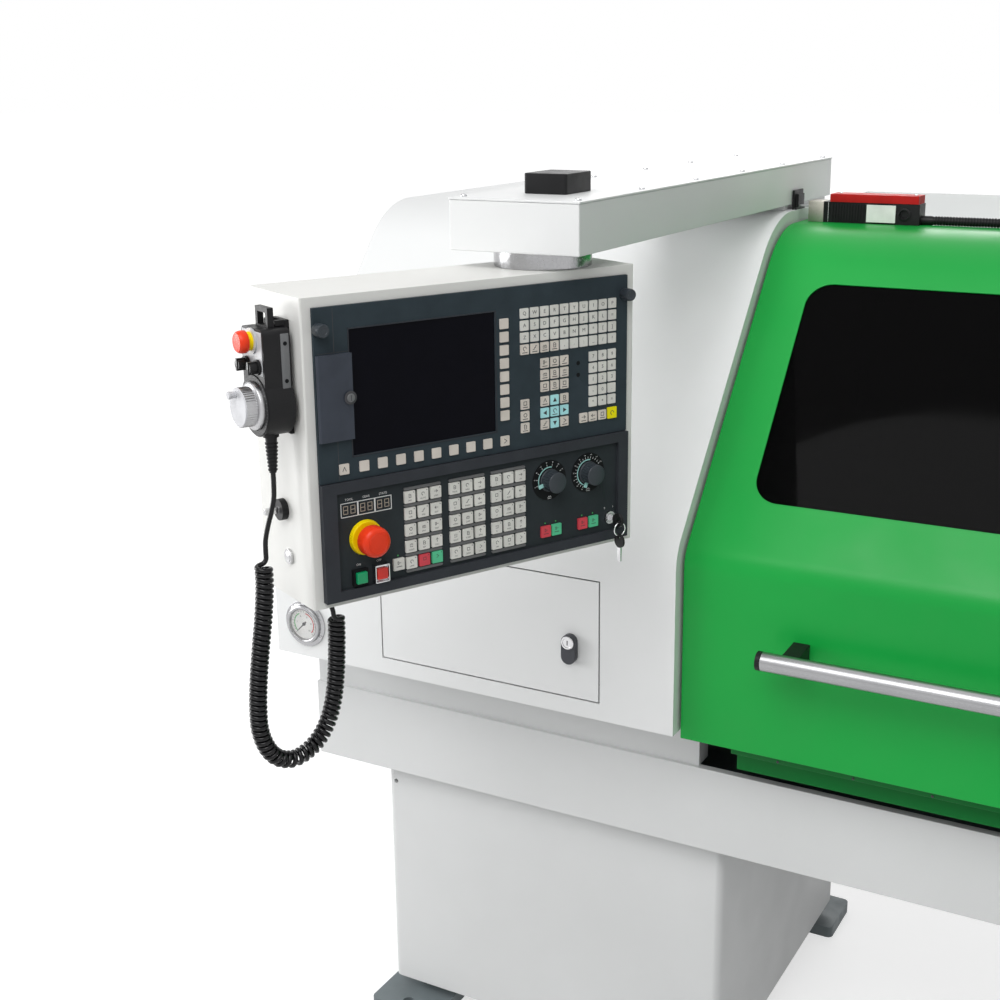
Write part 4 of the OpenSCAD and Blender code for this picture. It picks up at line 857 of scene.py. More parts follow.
@dataclass
class Studio:
    """Camera at the photograph's angle, plain soft light, pale floor."""

    camera_at: Point = (0.2479, -2.5237, 1.8460)
    azimuth: float = 29.02
    pitch: float = 15.51
    roll: float = -0.56
    focal: float = 1460.9
    centre: Flat = (521.0, 477.2)
    image: float = 1000.0
    sensor: float = 36.0
    world_level: float = 0.35
    floor_size: float = 60.0
    floor_tone: Colour = (0.55, 0.55, 0.55)
    floor_glow: Flat = (0.62, 0.9)
    floor_fade: Flat = (2.0, 6.0)
    lamps: tuple[tuple[str, Point, Point, float, float], ...] = (
        ("key", (-1.2, -3.7, 5.3), (-0.4, -0.4, 1.1), 3.2, 92.0),
        ("fill", (0.5, -3.8, 4.3), (-0.4, -0.3, 1.1), 3.0, 70.0),
        ("side", (-3.6, -1.7, 1.5), (-0.9, -0.9, 1.3), 1.8, 50.0),
        ("top", (-0.2, 0.6, 4.6), (-0.2, 0.1, 1.4), 3.2, 8.0),
        ("rear", (-1.5, 3.6, 3.2), (-0.3, 0.4, 1.1), 2.6, 40.0),
    )

    def camera(self) -> None:
        """Places the camera."""
        a = math.radians(self.azimuth)
        e = math.radians(self.pitch)
        ahead = Vector((-math.sin(a) * math.cos(e), math.cos(a) * math.cos(e), -math.sin(e)))
        data = bpy.data.cameras.new("camera")
        data.sensor_width = self.sensor
        data.lens = self.focal / self.image * self.sensor
        data.shift_x = (self.image / 2 - self.centre[0]) / self.image
        data.shift_y = (self.centre[1] - self.image / 2) / self.image
        data.clip_start = 0.05
        data.clip_end = 100.0
        obj = bpy.data.objects.new("camera", data)
        turn = ahead.to_track_quat("-Z", "Y").to_matrix().to_4x4() @ Matrix.Rotation(math.radians(self.roll), 4, "Z")
        obj.matrix_world = Matrix.Translation(self.camera_at) @ turn
        bpy.context.scene.collection.objects.link(obj)
        bpy.context.scene.camera = obj

    def light(self) -> None:
        """Places the lamps and the world."""
        for name, place, aim, size, power in self.lamps:
            data = bpy.data.lights.new(name, "AREA")
            data.shape = "DISK"
            data.size = size
            data.energy = power
            obj = bpy.data.objects.new(name, data)
            obj.location = place
            obj.rotation_euler = (Vector(aim) - Vector(place)).to_track_quat("-Z", "Y").to_euler()
            bpy.context.scene.collection.objects.link(obj)
        world = bpy.data.worlds.new("studio")
        bpy.context.scene.world = world
        world.use_nodes = True
        tree = world.node_tree
        tree.nodes.clear()
        out = tree.nodes.new("ShaderNodeOutputWorld")
        mix = tree.nodes.new("ShaderNodeMixShader")
        tree.links.new(self.seen(tree), mix.inputs[0])
        for socket, level in ((1, self.world_level), (2, 1.0)):
            back = tree.nodes.new("ShaderNodeBackground")
            back.inputs["Color"].default_value = WHITE
            back.inputs["Strength"].default_value = level
            tree.links.new(back.outputs[0], mix.inputs[socket])
        tree.links.new(mix.outputs[0], out.inputs["Surface"])

    @staticmethod
    def seen(tree: bpy.types.NodeTree) -> Socket:
        """Gives 1 for rays from the camera, off gloss and through glass, and 0 for the rest."""
        path = tree.nodes.new("ShaderNodeLightPath")
        value = path.outputs["Is Camera Ray"]
        for ray in ("Is Glossy Ray", "Is Transmission Ray"):
            most = tree.nodes.new("ShaderNodeMath")
            most.operation = "MAXIMUM"
            tree.links.new(value, most.inputs[0])
            tree.links.new(path.outputs[ray], most.inputs[1])
            value = most.outputs[0]
        return value

    def floor(self) -> None:
        """Lays a pale floor that keeps the shadow and fades into the white behind."""
        bm = bmesh.new()
        bmesh.ops.create_grid(bm, x_segments=1, y_segments=1, size=self.floor_size)
        mesh = bpy.data.meshes.new("floor")
        bm.to_mesh(mesh)
        bm.free()
        obj = bpy.data.objects.new("floor", mesh)
        g = Graph("floor_white")
        tree = g.tree
        g.set(Base_Color=(*self.floor_tone, 1.0), Roughness=0.9, Specular_IOR_Level=0.0)
        glow = tree.nodes.new("ShaderNodeEmission")
        glow.inputs["Color"].default_value = WHITE
        level = tree.nodes.new("ShaderNodeMath")
        level.operation = "MULTIPLY"
        tree.links.new(self.seen(tree), level.inputs[0])
        reach = tree.nodes.new("ShaderNodeVectorMath")
        reach.operation = "LENGTH"
        tree.links.new(g.place, reach.inputs[0])
        fade = g.between(reach.outputs["Value"], *self.floor_glow, *self.floor_fade)
        tree.links.new(fade, level.inputs[1])
        tree.links.new(level.outputs[0], glow.inputs["Strength"])
        both = tree.nodes.new("ShaderNodeAddShader")
        tree.links.new(g.shader.outputs[0], both.inputs[0])
        tree.links.new(glow.outputs[0], both.inputs[1])
        tree.links.new(both.outputs[0], g.output.inputs["Surface"])
        mesh.materials.append(g.material)
        bpy.context.scene.collection.objects.link(obj)

    def build(self) -> None:
        """Sets up the whole studio."""
        bpy.context.scene.view_settings.view_transform = "Standard"
        self.camera()
        self.light()
        self.floor()


@dataclass
class Guards:
    """Fixed covers, access panel, gauge, rails, cabinet and base."""

    shop: Shop
    gauge_at: Point = (-1333.4, -500.0, 865.7)
    latch_at: Point = (-783.0, -500.0, 933.3)
    cabinet_x: Flat = (-1200.0, -500.0)
    cabinet_back: float = 485.0
    drives_z: Flat = (1095.0, 1405.0)
    drives_y: float = 655.0
    ducts_z: Flat = (850.0, 1050.0)
    ducts_y: float = 555.0
    dressed: Dressed = (
        ("left_cover", "cover_paint", 1.0), ("right_cover", "cover_paint", 1.0), ("rear_guard", "cover_paint", 1.0),
        ("access_panel", "cover_paint", 0.6), ("door_rails", "ground_steel", 0.8),
        ("chip_tray", "base_paint", 1.0), ("left_pedestal", "base_paint", 1.2), ("right_pedestal", "base_paint", 1.2),
        ("foot_plates", "cast_paint", 2.0), ("jack_screws", "ground_steel", 0.8),
        ("cabinet_door", "base_paint", 1.2),
        ("access_latch", "latch_grey", 3.0), ("pressure_gauge", "ring_steel", 0.6),
    )

    def gauge(self) -> None:
        """Makes the dial, needle, glass and flange screws of the pressure gauge."""
        bm = bmesh.new()
        place = at(*self.gauge_at) @ FRONT
        dial = place @ at(0, 0, 5.4)
        turned(bm, [(28.8, 5.0), (28.8, 5.4), (0, 5.4)], place, 48, 0)
        for number, first, last in ((2, 222, 118), (1, 78, -42)):
            plate(bm, band(20.6, 22.6, first, last), 0.1, dial, number)
        for i in range(21):
            tick(bm, 225 - 13.5 * i, (23.0, 27.0 if i % 4 == 0 else 25.4), 0.6, dial, 3)
        for i in range(6):
            letters(bm, str(2 * i), 5.0, dial @ at(*polar(16.0, 225 - 54 * i), 0.05), 3)
        needle = dial @ Matrix.Rotation(math.radians(225), 4, "Z") @ at(0, 0, 0.8)
        plate(bm, [(-7, -1.6), (23, -0.4), (23, 0.4), (-7, 1.6)], 0.4, needle, 3)
        turned(bm, [(3.2, 0), (3.2, 1.6), (2.2, 2.2), (0, 2.2)], dial, 20, 3)
        for turn in (90, 210, 330):
            screw(bm, place @ at(*polar(40.5, turn), 2.8), 5.4, 4, 3)
        turned(bm, [(0, 10.4), (29.8, 10.4), (29.8, 10.9), (0, 10.9)], place, 48, 5)
        finishes = ["dial_white", "ink_red", "ink_green", "dark_ink_and_painted_shade", "polished_steel", "gauge_glass"]
        self.shop.piece("gauge_face", to_metres(bm), finishes, "machine_frame", "steel")

    def latch(self) -> None:
        """Makes the lock barrel in the latch, with its key slot as a flat dark plate of painted shade."""
        bm = bmesh.new()
        place = at(*self.latch_at) @ FRONT
        turned(bm, [(11.6, 10.8), (11.6, 13.6), (10.6, 14.8), (8.4, 14.8), (7.8, 13.6), (0, 13.6)], place, 32, 0)
        # Key slot: a flat dark plate, painted shade for the slot's hollow.
        plate(bm, [(-0.9, -4.2), (0.9, -4.2), (0.9, 4.2), (-0.9, 4.2)], 0.15, place @ at(0, 0, 13.6), 1)
        self.shop.piece("latch_barrel", to_metres(bm), ["polished_steel", "dark_ink_and_painted_shade"], "access_latch", "steel")

    def cabinet_tone(self, x: float, y: float, z: float) -> int:
        """Numbers the cabinet: painted box, dark drive modules or grey wiring ducts."""
        if not (self.cabinet_x[0] < x < self.cabinet_x[1] and y > self.cabinet_back):
            return 0
        if self.drives_z[0] < z < self.drives_z[1]:
            return int(y < self.drives_y)
        return 2 * int(self.ducts_z[0] < z < self.ducts_z[1] and y < self.ducts_y)

    def build(self) -> None:
        """Dresses the sheet metal and adds the fittings."""
        self.gauge()
        self.latch()
        self.shop.dress("electric_cabinet", "base_paint", 1.0, ["drive_grey", "grey_plastic"], self.cabinet_tone)
        self.shop.dress_all(self.dressed)


@dataclass
class WorkingParts:
    """Bed, headstock, spindle, slides and tailstock behind the guards."""

    shop: Shop
    ways_z: float = 870.5
    dressed: Dressed = (
        ("headstock", "cast_paint", 3.0), ("spindle_motor", "winding", 1.0),
        ("spindle", "ground_steel", 1.0), ("chuck", "ground_steel", 1.5), ("carriage", "slide_iron", 2.0),
        ("cross_slide", "slide_iron", 2.0), ("turret", "ground_steel", 1.5), ("tailstock", "slide_iron", 2.5),
        ("quill", "polished_steel", 0.8), ("z_screw", "polished_steel", 0.5), ("z_motor", "motor_paint", 1.5),
    )

    def build(self) -> None:
        """Dresses the castings and shafts, with ground ways on the bed."""
        self.shop.dress("bed", "cast_paint", 3.0, ["ground_steel"], lambda x, y, z: int(z > self.ways_z))
        self.shop.dress_all(self.dressed)


@dataclass
class Door:
    """Sliding door with window, handle and interlock."""

    shop: Shop
    switch_low: Point = (-576.0, 26.0, 1584.0)
    switch_len: float = 196.0
    lid_z: float = 1620.0
    tongue_z: Flat = (1608.5, 1612.5)
    hem_z: float = 789.5
    apron_screw: Point = (-432.0, -458.0, 774.5)
    apron_pitch: float = 123.3
    apron_count: int = 7
    conduit_end: float = 388.0
    conduit_r: float = 8.0
    rib: float = 5.0
    dressed: Dressed = (
        ("door_window", "door_pane", 0.8), ("door_handle", "brushed_tube", 0.8),
        ("handle_brackets", "black_plastic", 2.0),
    )

    def switch(self) -> None:
        """Makes the interlock switch: metal head, ribbed body, red lid, bare label and plug."""
        x0, y0, z0 = self.switch_low
        bm = bmesh.new()
        for i in range(12):
            block(bm, (x0 + 41 + 5 * i, y0 - 1.0, z0 + 3), (x0 + 44 + 5 * i, y0 + 0.5, z0 + 33), 0.5, 1, 0)
        block(bm, (x0 + 35, y0 - 0.4, z0 + 1), (x0 + 36, y0 + 0.5, z0 + 35), 0.2, 1, 3)
        block(bm, (x0 + 104, y0 - 0.6, z0 + 3), (x0 + 155, y0 + 0.5, z0 + 33), 0.3, 1, 1)
        turned(bm, [(11, -0.5), (11, 0.8), (9.6, 1.4), (8.2, 1.4), (7.0, -4), (0, -4)],
               at(x0 + self.switch_len - 26, y0, z0 + 18) @ FRONT, 24, 0)
        for x in (x0 + 52, x0 + self.switch_len - 12):
            screw(bm, at(x, y0 + 20, self.lid_z + 14), 6.0, 3, 4)
        block(bm, (x0 - 0.6, y0 - 0.8, z0 + 0.2), (x0 + 27, y0 + 40.8, z0 + 36.4), 0.8, 2, 2)
        finishes = ["black_plastic", "dial_white", "zinc_head", "ground_steel", "dark_ink_and_painted_shade"]
        self.shop.piece("switch_fittings", to_metres(bm), finishes, "door", "black_plastic")
        self.shop.dress("interlock_switch", "black_plastic", 1.0, ["lid_red"],
                        lambda x, y, z: int(z > self.lid_z + 0.5))
        low, high = self.tongue_z
        self.shop.dress("interlock_bracket", "black_plastic", 0.5, ["satin_steel"],
                        lambda x, y, z: int(low < z < high))

    def conduit(self) -> None:
        """Makes the corrugated conduit with its gland and elbow."""
        x0 = self.switch_low[0] + self.switch_len
        y = self.switch_low[1] + 20
        z = self.switch_low[2] + self.conduit_r
        r = self.conduit_r
        outline = [(0, 0), (r, 0), (r, 18), (r - 0.8, 21)]
        for i in range(int((self.conduit_end - x0 - 24) / self.rib)):
            start = 22 + i * self.rib
            outline += [(r - 1.1, start), (r - 0.1, start + 0.8), (r - 0.1, start + 3.2), (r - 1.1, start + 4.0)]
        outline += [(r - 1.1, self.conduit_end - x0 + 2), (0, self.conduit_end - x0 + 2)]
        bm = bmesh.new()
        turned(bm, outline, at(x0, y, z) @ ALONG, 20, 0)
        block(bm, (self.conduit_end, y - 14, z - r), (self.conduit_end + 34, y + 14, z + 18), 5.0, 3, 0)
        self.shop.piece("conduit", to_metres(bm), ["black_plastic"], "door", "black_plastic", 40.0,
                        ["interlock_conduit"])

    def apron(self) -> None:
        """Dresses the door skin, paints its apron a darker green as painted shade, and adds the apron's screws."""
        # Faces below the hem take the darker green, painted shade for the apron under the door's edge.
        self.shop.dress("sliding_door", "door_paint", 1.2, ["door_apron_painted_shade"],
                        lambda x, y, z: int(z < self.hem_z))
        bm = bmesh.new()
        x, y, z = self.apron_screw
        for i in range(self.apron_count):
            place = at(x + self.apron_pitch * i, y, z) @ FRONT
            turned(bm, [(2.2, -0.4), (2.2, 0.5), (1.6, 1.0), (0, 1.2)], place, 16, 0)
        self.shop.piece("apron_screws", to_metres(bm), ["dark_ink_and_painted_shade"], "door", "steel")

    def build(self) -> None:
        """Makes the interlock and dresses the door."""
        self.switch()
        self.conduit()
        self.apron()
        self.shop.dress_all(self.dressed)


@dataclass
class Arm:
    """Pendant arm with its lid, hood and swivel ring."""

    shop: Shop
    lid_z: float = 1684.0
    low: Point = (-804.5, -820.0, 1613.0)
    high: Point = (-607.5, 250.0, 1681.0)
    screw_xs: tuple[float, ...] = (-793.0, -619.0)
    screw_ys: tuple[float, ...] = (-800.0, -600.0, -400.0, -200.0, 0.0, 230.0)
    dressed: Dressed = (
        ("arm_lid", "cover_paint", 1.0), ("cable_hood", "black_plastic", 2.5),
        ("swivel_ring", "ring_steel", 1.0),
    )

    def build(self) -> None:
        """Dresses the arm and sets the lid screws."""
        bm = bmesh.new()
        for x in self.screw_xs:
            for y in self.screw_ys:
                screw(bm, at(x, y, self.lid_z), 9.0, 0, 1)
        self.shop.piece("lid_screws", to_metres(bm), ["ground_steel", "dark_ink_and_painted_shade"], "machine_frame", "steel")
        self.shop.dress_all(self.dressed)
        self.welded_box()

    def welded_box(self) -> None:
        """Dresses the arm and eases only the edges of its outer box, so that the ground welds stay flush."""
        obj = self.shop.dress("pendant_arm", "cover_paint", 0.0)
        weights = obj.data.attributes.new("bevel_weight_edge", "FLOAT", "EDGE")
        for edge in obj.data.edges:
            ends = [obj.data.vertices[i].co / MM for i in edge.vertices]
            planes = sum(all(abs(end[k] - corner[k]) < 0.02 for end in ends) for corner in (self.low, self.high)
                         for k in range(3))
            weights.data[edge.index].value = float(planes >= 2)
        bevel = obj.modifiers.new("eased_edges", "BEVEL")
        bevel.width = 1.6 * MM
        bevel.segments = 3
        bevel.limit_method = "WEIGHT"
        bevel.harden_normals = True


@dataclass
class OnPendant:
    """What is built in the pendant's own frame."""

    shop: Shop
    frame: PendantFrame

    def add(self, name: str, bm: BMesh, finishes: Sequence[str], slot: str, body: str = "pendant",
            replaces: Sequence[str] = ()) -> None:
        """Puts a shape in pendant millimetres in its place."""
        self.shop.piece(name, to_metres(bm, self.frame.matrix), finishes, body, slot, replaces=replaces)


@dataclass
class Pendant(OnPendant):
    """Control pendant: housing, display panel, control panel, their keys and printing."""

    grid: Flat = (308.3, 16.33)
    letter_rows: tuple[tuple[float, str], ...] = (
        (183.7, "QWERTYUIOP"), (167.6, "ASDFGHJKL="), (151.5, "ZXCVBNM*[]"), (135.4, "    ,.:_/?"),
    )
    number_rows: tuple[tuple[float, str], ...] = (
        (113.4, "789"), (97.45, "456"), (81.5, "123"), (65.55, "-0."), (49.6, "*+="),
    )
    grid_signs: tuple[tuple[int, float, str], ...] = (
        (0, 135.4, "TURN"), (1, 135.4, "STEPS"), (2, 135.4, "WAVE"), (3, 135.4, "PAGE"),
        (2, 113.6, "CHUCK"), (3, 113.6, "RING"), (4, 113.6, "STEPS"), (2, 97.5, "WAVE"), (3, 97.5, "PAGE"),
        (4, 97.5, "DROPS"), (2, 81.4, "SQUARE"), (3, 81.4, "PAGE"), (4, 81.4, "SQUARE"),
        (0, 61.3, "SQUARE"), (0, 45.2, "RING"), (0, 29.1, "PAGE"), (2, 61.3, "HAT"), (4, 61.3, "PAGE"),
        (3, 45.2, "TURN"), (2, 29.1, "STEPS"), (4, 29.1, "WEDGE"), (6, 29.1, "RIGHT"),
        (7, 29.1, "LEFT"), (8, 29.1, "SQUARE"),
    )
    cyan_keys: tuple[Flat, ...] = (
        (357.3, 61.3), (341.0, 45.2), (357.3, 29.1), (373.6, 45.2), (357.3, 45.2),
    )
    yellow_key: Flat = (456.2, 29.7)
    block_us: tuple[float, ...] = (125.5, 193.6, 259.5)
    key_pitch: float = 19.6
    key_rows: tuple[float, ...] = (-35.5, -57.7, -79.9, -102.1, -124.3)
    key_signs: tuple[str, ...] = (
        "PAGE", "TURN", "RIGHT", "SQUARE", "STEPS", "LEFT", "RING", "WAVE", "CHUCK", "DROPS", "PAGE", "UP", "TURN",
        "SQUARE", "WEDGE",
    )
    key_words: tuple[tuple[str, ...], ...] = (
        ("REF", "AUTO", "STEP", "VAR", "MDI", "SKIP", "JOG", "DRY", "TEST", "HOLD", "SET", "CALL", "LAMP", "", ""),
        ("TOOL", "MAG", "UP", "F1", "WASH", "LUBE", "OPEN", "CHIP", "FAN", "SHUT", "PUMP",
         "SPIN", "CW", "ZERO", "CCW"),
        ("1", "10", "100", "X-", "FAST", "X+", "C", "HOME", "C+", "Z-", "RUN", "Z+", "100", "50", "25"),
    )
    red_keys: tuple[Flat, ...] = ((145.1, -124.3), (341.0, -123.0), (404.5, -123.0))
    mint_keys: tuple[Flat, ...] = ((164.7, -124.3), (359.0, -123.0), (423.5, -123.0))
    dials: tuple[tuple[str, float, float, int], ...] = (
        ("feed_knob", 348.2, 200.0, 8), ("speed_knob", 414.6, 250.0, 19),
    )
    dial_v: float = -50.5
    stop_at: Flat = (60.0, -77.5)
    push_us: Flat = (49.0, 78.5)
    push_v: float = -128.0
    lock_at: Flat = (452.5, -122.6)
    field: tuple[float, float, float, float] = (20.0, 466.0, -142.0, -14.0)
    rim_t: float = 5.0
    display_top: float = 1.82
    control_top: float = 3.02
    dressed: Dressed = (
        ("pendant_housing", "housing_paint", 1.5), ("display_screen", "screen_black", 0.3),
        ("media_flap", "flap_film", 1.5), ("estop_collar", "stop_yellow", 1.0), ("start_button", "key_green", 1.2),
        ("stop_button", "push_red", 1.2),
    )

    @staticmethod
    def near(u: float, v: float, places: Iterable[Flat], reach: float) -> bool:
        """Tells whether a place lies in a square round one of the given places."""
        return any(max(abs(u - a), abs(v - b)) < reach for a, b in places)

    def display_tone(self, u: float, y: float, z: float) -> int:
        """Numbers the display keys: white, cyan, yellow or cream."""
        v = z - self.frame.line_z
        if self.near(u, v, self.cyan_keys, 8.0):
            return 1
        if self.near(u, v, [self.yellow_key], 9.0):
            return 2
        grid_u, pitch = self.grid
        first_four = 126 < v < 143 and u < grid_u + 3.5 * pitch
        cursor_keys = v < 122 and u < grid_u + 5.5 * pitch
        return 3 if u < 290 or v < 36 or first_four or cursor_keys else 0

    def control_tone(self, u: float, y: float, z: float) -> int:
        """Numbers the control panel: field, rim, ridge, black frame or chrome frame."""
        v = z - self.frame.line_z
        low_u, high_u, low_v, high_v = self.field
        outside = u <= low_u + 0.01 or u >= high_u - 0.01 or v <= low_v + 0.01 or v >= high_v - 0.01
        if outside or abs(y + self.rim_t) < 0.01:
            return 1
        if y > -0.2:
            return 0
        if any(math.hypot(u - d[1], v - self.dial_v) < 28.5 for d in self.dials):
            return 3
        in_lock = math.hypot(u - self.lock_at[0], v - self.lock_at[1]) < 9.5
        if in_lock or self.near(u, v, [(self.push_us[1], self.push_v)], 11):
            return 4
        return 3 if self.near(u, v, [(self.push_us[0], self.push_v)], 11) else 2

    def control_key_tone(self, u: float, y: float, z: float) -> int:
        """Numbers the control keys: white, red or mint."""
        v = z - self.frame.line_z
        if self.near(u, v, self.red_keys, 9.0):
            return 1
        return 2 if self.near(u, v, self.mint_keys, 9.0) else 0

    def key_tone(self, u: float, y: float, z: float) -> int:
        """Numbers the key switch: bright steel, or black for the two key heads."""
        v = z - self.frame.line_z - self.lock_at[1]
        flat = abs(u - self.lock_at[0]) < 2.4
        heads = math.hypot(v, -y - 21.5) < 10.4 or math.hypot(v + 29.2, -y - 25.5) < 10.4
        return int(flat and heads and -y > 10.0)

    @staticmethod
    def panel_tone(u: float, y: float, z: float) -> int:
        """Numbers the display panel: film, or slate for what stands out of it."""
        return int(y < -0.3)

    @staticmethod
    def side_tone(u: float, y: float, z: float) -> int:
        """Numbers the side fittings: black plastic, or steel for the side lock and the socket's outer end."""
        lock = 1230 < z < 1262 and u > -30
        socket = 1300 < z < 1322 and u < -24
        return int(lock or socket)

    def display_print(self) -> None:
        """Prints the display keys and makes the screen's frame, the seams as dark lines of painted shade, and the
        fastening knobs.
        """
        bm = bmesh.new()
        grid_u, pitch = self.grid
        for rows, first in ((self.letter_rows, 0), (self.number_rows, 7)):
            for v, row in rows:
                for i, letter in enumerate(row):
                    if letter != " ":
                        letters(bm, letter, 7.0, self.frame.front(grid_u + (first + i) * pitch, v, self.display_top))
        for i, v, name in self.grid_signs:
            place = self.frame.front(grid_u + i * pitch, v + 1.2, self.display_top)
            strokes(bm, Sign[name].value, 7.4, 0.8, place)
            strokes(bm, (((-0.5, -0.72), (0.5, -0.72)),), 7.4, 1.0, place)
        for i, (u, v) in enumerate(self.cyan_keys[:4]):
            plate(bm, [(-3.2, -2.6), (3.2, -2.6), (0, 3.2)], 0.05, self.frame.front(u, v, self.display_top, 90 * i))
        for v in (106.5, 90.2):
            plate(bm, arc(3.0, 0, 345, 23), 0.1, self.frame.front(398, v, 0.0), 2)
        for u in (6, 477):
            turned(bm, [(8.1, 1.5), (8.5, 2.2), (8.5, 14), (7.6, 16.5), (5, 16.5), (4.6, 16.1), (0, 16.1)],
                   self.frame.front(u, 194), 28, 3)
        for u, v, sign in ((33.7, 16, Sign.HAT), (275.5, 16, Sign.WEDGE), (*self.yellow_key, Sign.TURN)):
            strokes(bm, sign.value, 8.0, 0.8, self.frame.front(u, v, self.display_top))
        screen = (((47, 30), (263, 30), (263, 191), (47, 191), (47, 30)),)
        strokes(bm, screen, 1.0, 1.6, self.frame.front(0, 0, 0.0), 1, 0.5)
        # Seams of the flap and panel: dark lines of painted shade standing for the grooves.
        seams = (((27, 2), (27, 53)), ((27, 163), (27, 218)), ((4, 163.5), (46, 163.5)))
        strokes(bm, seams, 1.0, 0.7, self.frame.front(0, 0, 0.0), 0, 0.06)
        self.add("display_print", bm, ["dark_ink_and_painted_shade", "rim_film", "dial_black", "knob_slate"], "key_pale")

    def control_print(self) -> None:
        """Prints the control keys, the number displays and the captions."""
        bm = bmesh.new()
        for u0, words in zip(self.block_us, self.key_words):
            for k, word in enumerate(words):
                u = u0 + k % 3 * self.key_pitch
                v = self.key_rows[k // 3]
                strokes(bm, Sign[self.key_signs[k]].value, 6.0, 0.6, self.frame.front(u, v + 1.6, self.control_top))
                if word:
                    letters(bm, word, 2.9, self.frame.front(u, v - 4.6, self.control_top))
                plate(bm, arc(0.7, 0, 315, 7), 0.1, self.frame.front(u + 5.8, v + 5.8, 3.0), 0)
        for u, v in (*self.red_keys[1:], *self.mint_keys[1:], (106.5, -123.0)):
            strokes(bm, Sign.CHUCK.value, 6.0, 0.6, self.frame.front(u, v + 2.0, self.control_top))
            strokes(bm, (((-0.6, -0.5), (0.6, -0.5)),), 6.0, 0.8, self.frame.front(u, v, self.control_top))
            plate(bm, arc(1.0, 0, 315, 7), 0.3, self.frame.front(u, v + 11.5, 0.0), 3)
        for i, caption in enumerate(("TOOL", "GEAR", "STATE")):
            u = 38.8 + i * 24.4
            frame = (((-11.7, -9.0), (11.7, -9.0), (11.7, 9.0), (-11.7, 9.0), (-11.7, -9.0)),)
            strokes(bm, frame, 1.0, 1.0, self.frame.front(u, -37.7), 1, 0.3)
            for side in (-5.2, 5.2):
                strokes(bm, Sign.DIGIT.value, 10.0, 0.9, self.frame.front(u + side, -37.7), 2, 0.2)
            letters(bm, caption, 4.2, self.frame.front(u, -24.4), 1)
        for u, v, word in ((49, -112.5, "ON"), (78.5, -112.5, "OFF"), (445, -108.5, "0"), (460, -108.5, "I")):
            letters(bm, word, 4.2, self.frame.front(u, v), 1)
        self.add("control_print", bm, ["dark_ink_and_painted_shade", "ink_white", "ink_beige", "ink_green"], "key_pale")

    def dial(self, node: str, u: float, turn: float, ticks: int) -> None:
        """Prints a dial and makes its fluted knob with a turquoise pointer.

        Args:
            node: CAD node of the knob.
            u: Place of the dial along the panel.
            turn: Direction of the pointer in degrees.
            ticks: Number of ticks on the scale.
        """
        bm = bmesh.new()
        face = self.frame.front(u, self.dial_v, 1.0)
        plate(bm, band(17.6, 19.2, turn - 2, 78, 40), 0.12, face, 1)
        for i in range(ticks):
            angle = turn - 4 - (turn - 34) * i / (ticks - 1)
            tick(bm, angle, (20.4, 22.6), 0.6, face, 0, 0.12)
            if ticks < 12 or i % 2 == 0:
                words = str(i * 10 if ticks < 12 else 50 + i * 4)
                letters(bm, words, 2.4, face @ at(*polar(25.3, angle), 0.05))
        strokes(bm, Sign.WAVE.value, 7.0, 0.6, face @ at(0, -24, 0.0), 0, 0.12)
        self.add(f"{node}_dial", bm, ["ink_white", "ink_turquoise"], "panel_slate")
        bm = bmesh.new()
        base = self.frame.front(u, self.dial_v, 0.0, turn)
        turned(bm, [(0, 1.3), (16, 1.3), (16, 3.4), (15.2, 4.2), (13, 4.2)], base, 48, 0)
        fluted(bm, [14.5, 14.5, 13.8, 13.8] * 24, 15.8, base @ at(0, 0, 4.2))
        turned(bm, [(14.5, 19.2), (14.6, 20.2), (14.0, 21.0), (12.6, 21.3), (0, 21.0)], base, 48, 0)
        plate(bm, [(12, -2.4), (21.5, -2.4), (21.5, 2.4), (12, 2.4)], 1.3, base @ at(0, 0, 3.7), 1)
        self.add(f"{node}_made", bm, ["knob_slate", "ink_turquoise"], "black_plastic", node, [node])

    def stops(self) -> None:
        """Makes the mushroom button and the guard round the stop button."""
        bm = bmesh.new()
        outline = [(12, 5.3), (12, 13), (17.4, 13), (19.3, 14.1), (20, 16), (20, 26), (19.6, 29.4), (18.4, 32.2),
                   (16.2, 34.0), (13.4, 34.8), (12.8, 34.4), (12.2, 34.9), (6, 35.4), (0, 35.5)]
        turned(bm, outline, self.frame.front(*self.stop_at), 64, 0)
        self.add("stop_mushroom", bm, ["stop_red"], "red_plastic", "estop_button", ["estop_button"])
        bm = bmesh.new()
        part = bmesh.new()
        for x in (-10.6, 9.0):
            block(part, (x, -12.0, 0), (x + 1.6, 12.0, 9.5), 0.5, 2, 0)
        for y in (-12.0, 10.4):
            block(part, (-10.6, y, 5.5), (10.6, y + 1.6, 9.5), 0.5, 2, 0)
        absorb(bm, part, self.frame.front(self.push_us[1], self.push_v))
        self.add("stop_guard", bm, ["polished_steel"], "steel")

    def fittings(self) -> None:
        """Makes the flap lock with a dark ring and slot of painted shade, the side lock slot and the ribs of the
        strain relief.
        """
        bm = bmesh.new()
        turned(bm, [(5.4, 8.4), (5.4, 9.6), (4.6, 10.2), (0, 10.2)], self.frame.front(43, 107), 24, 0)
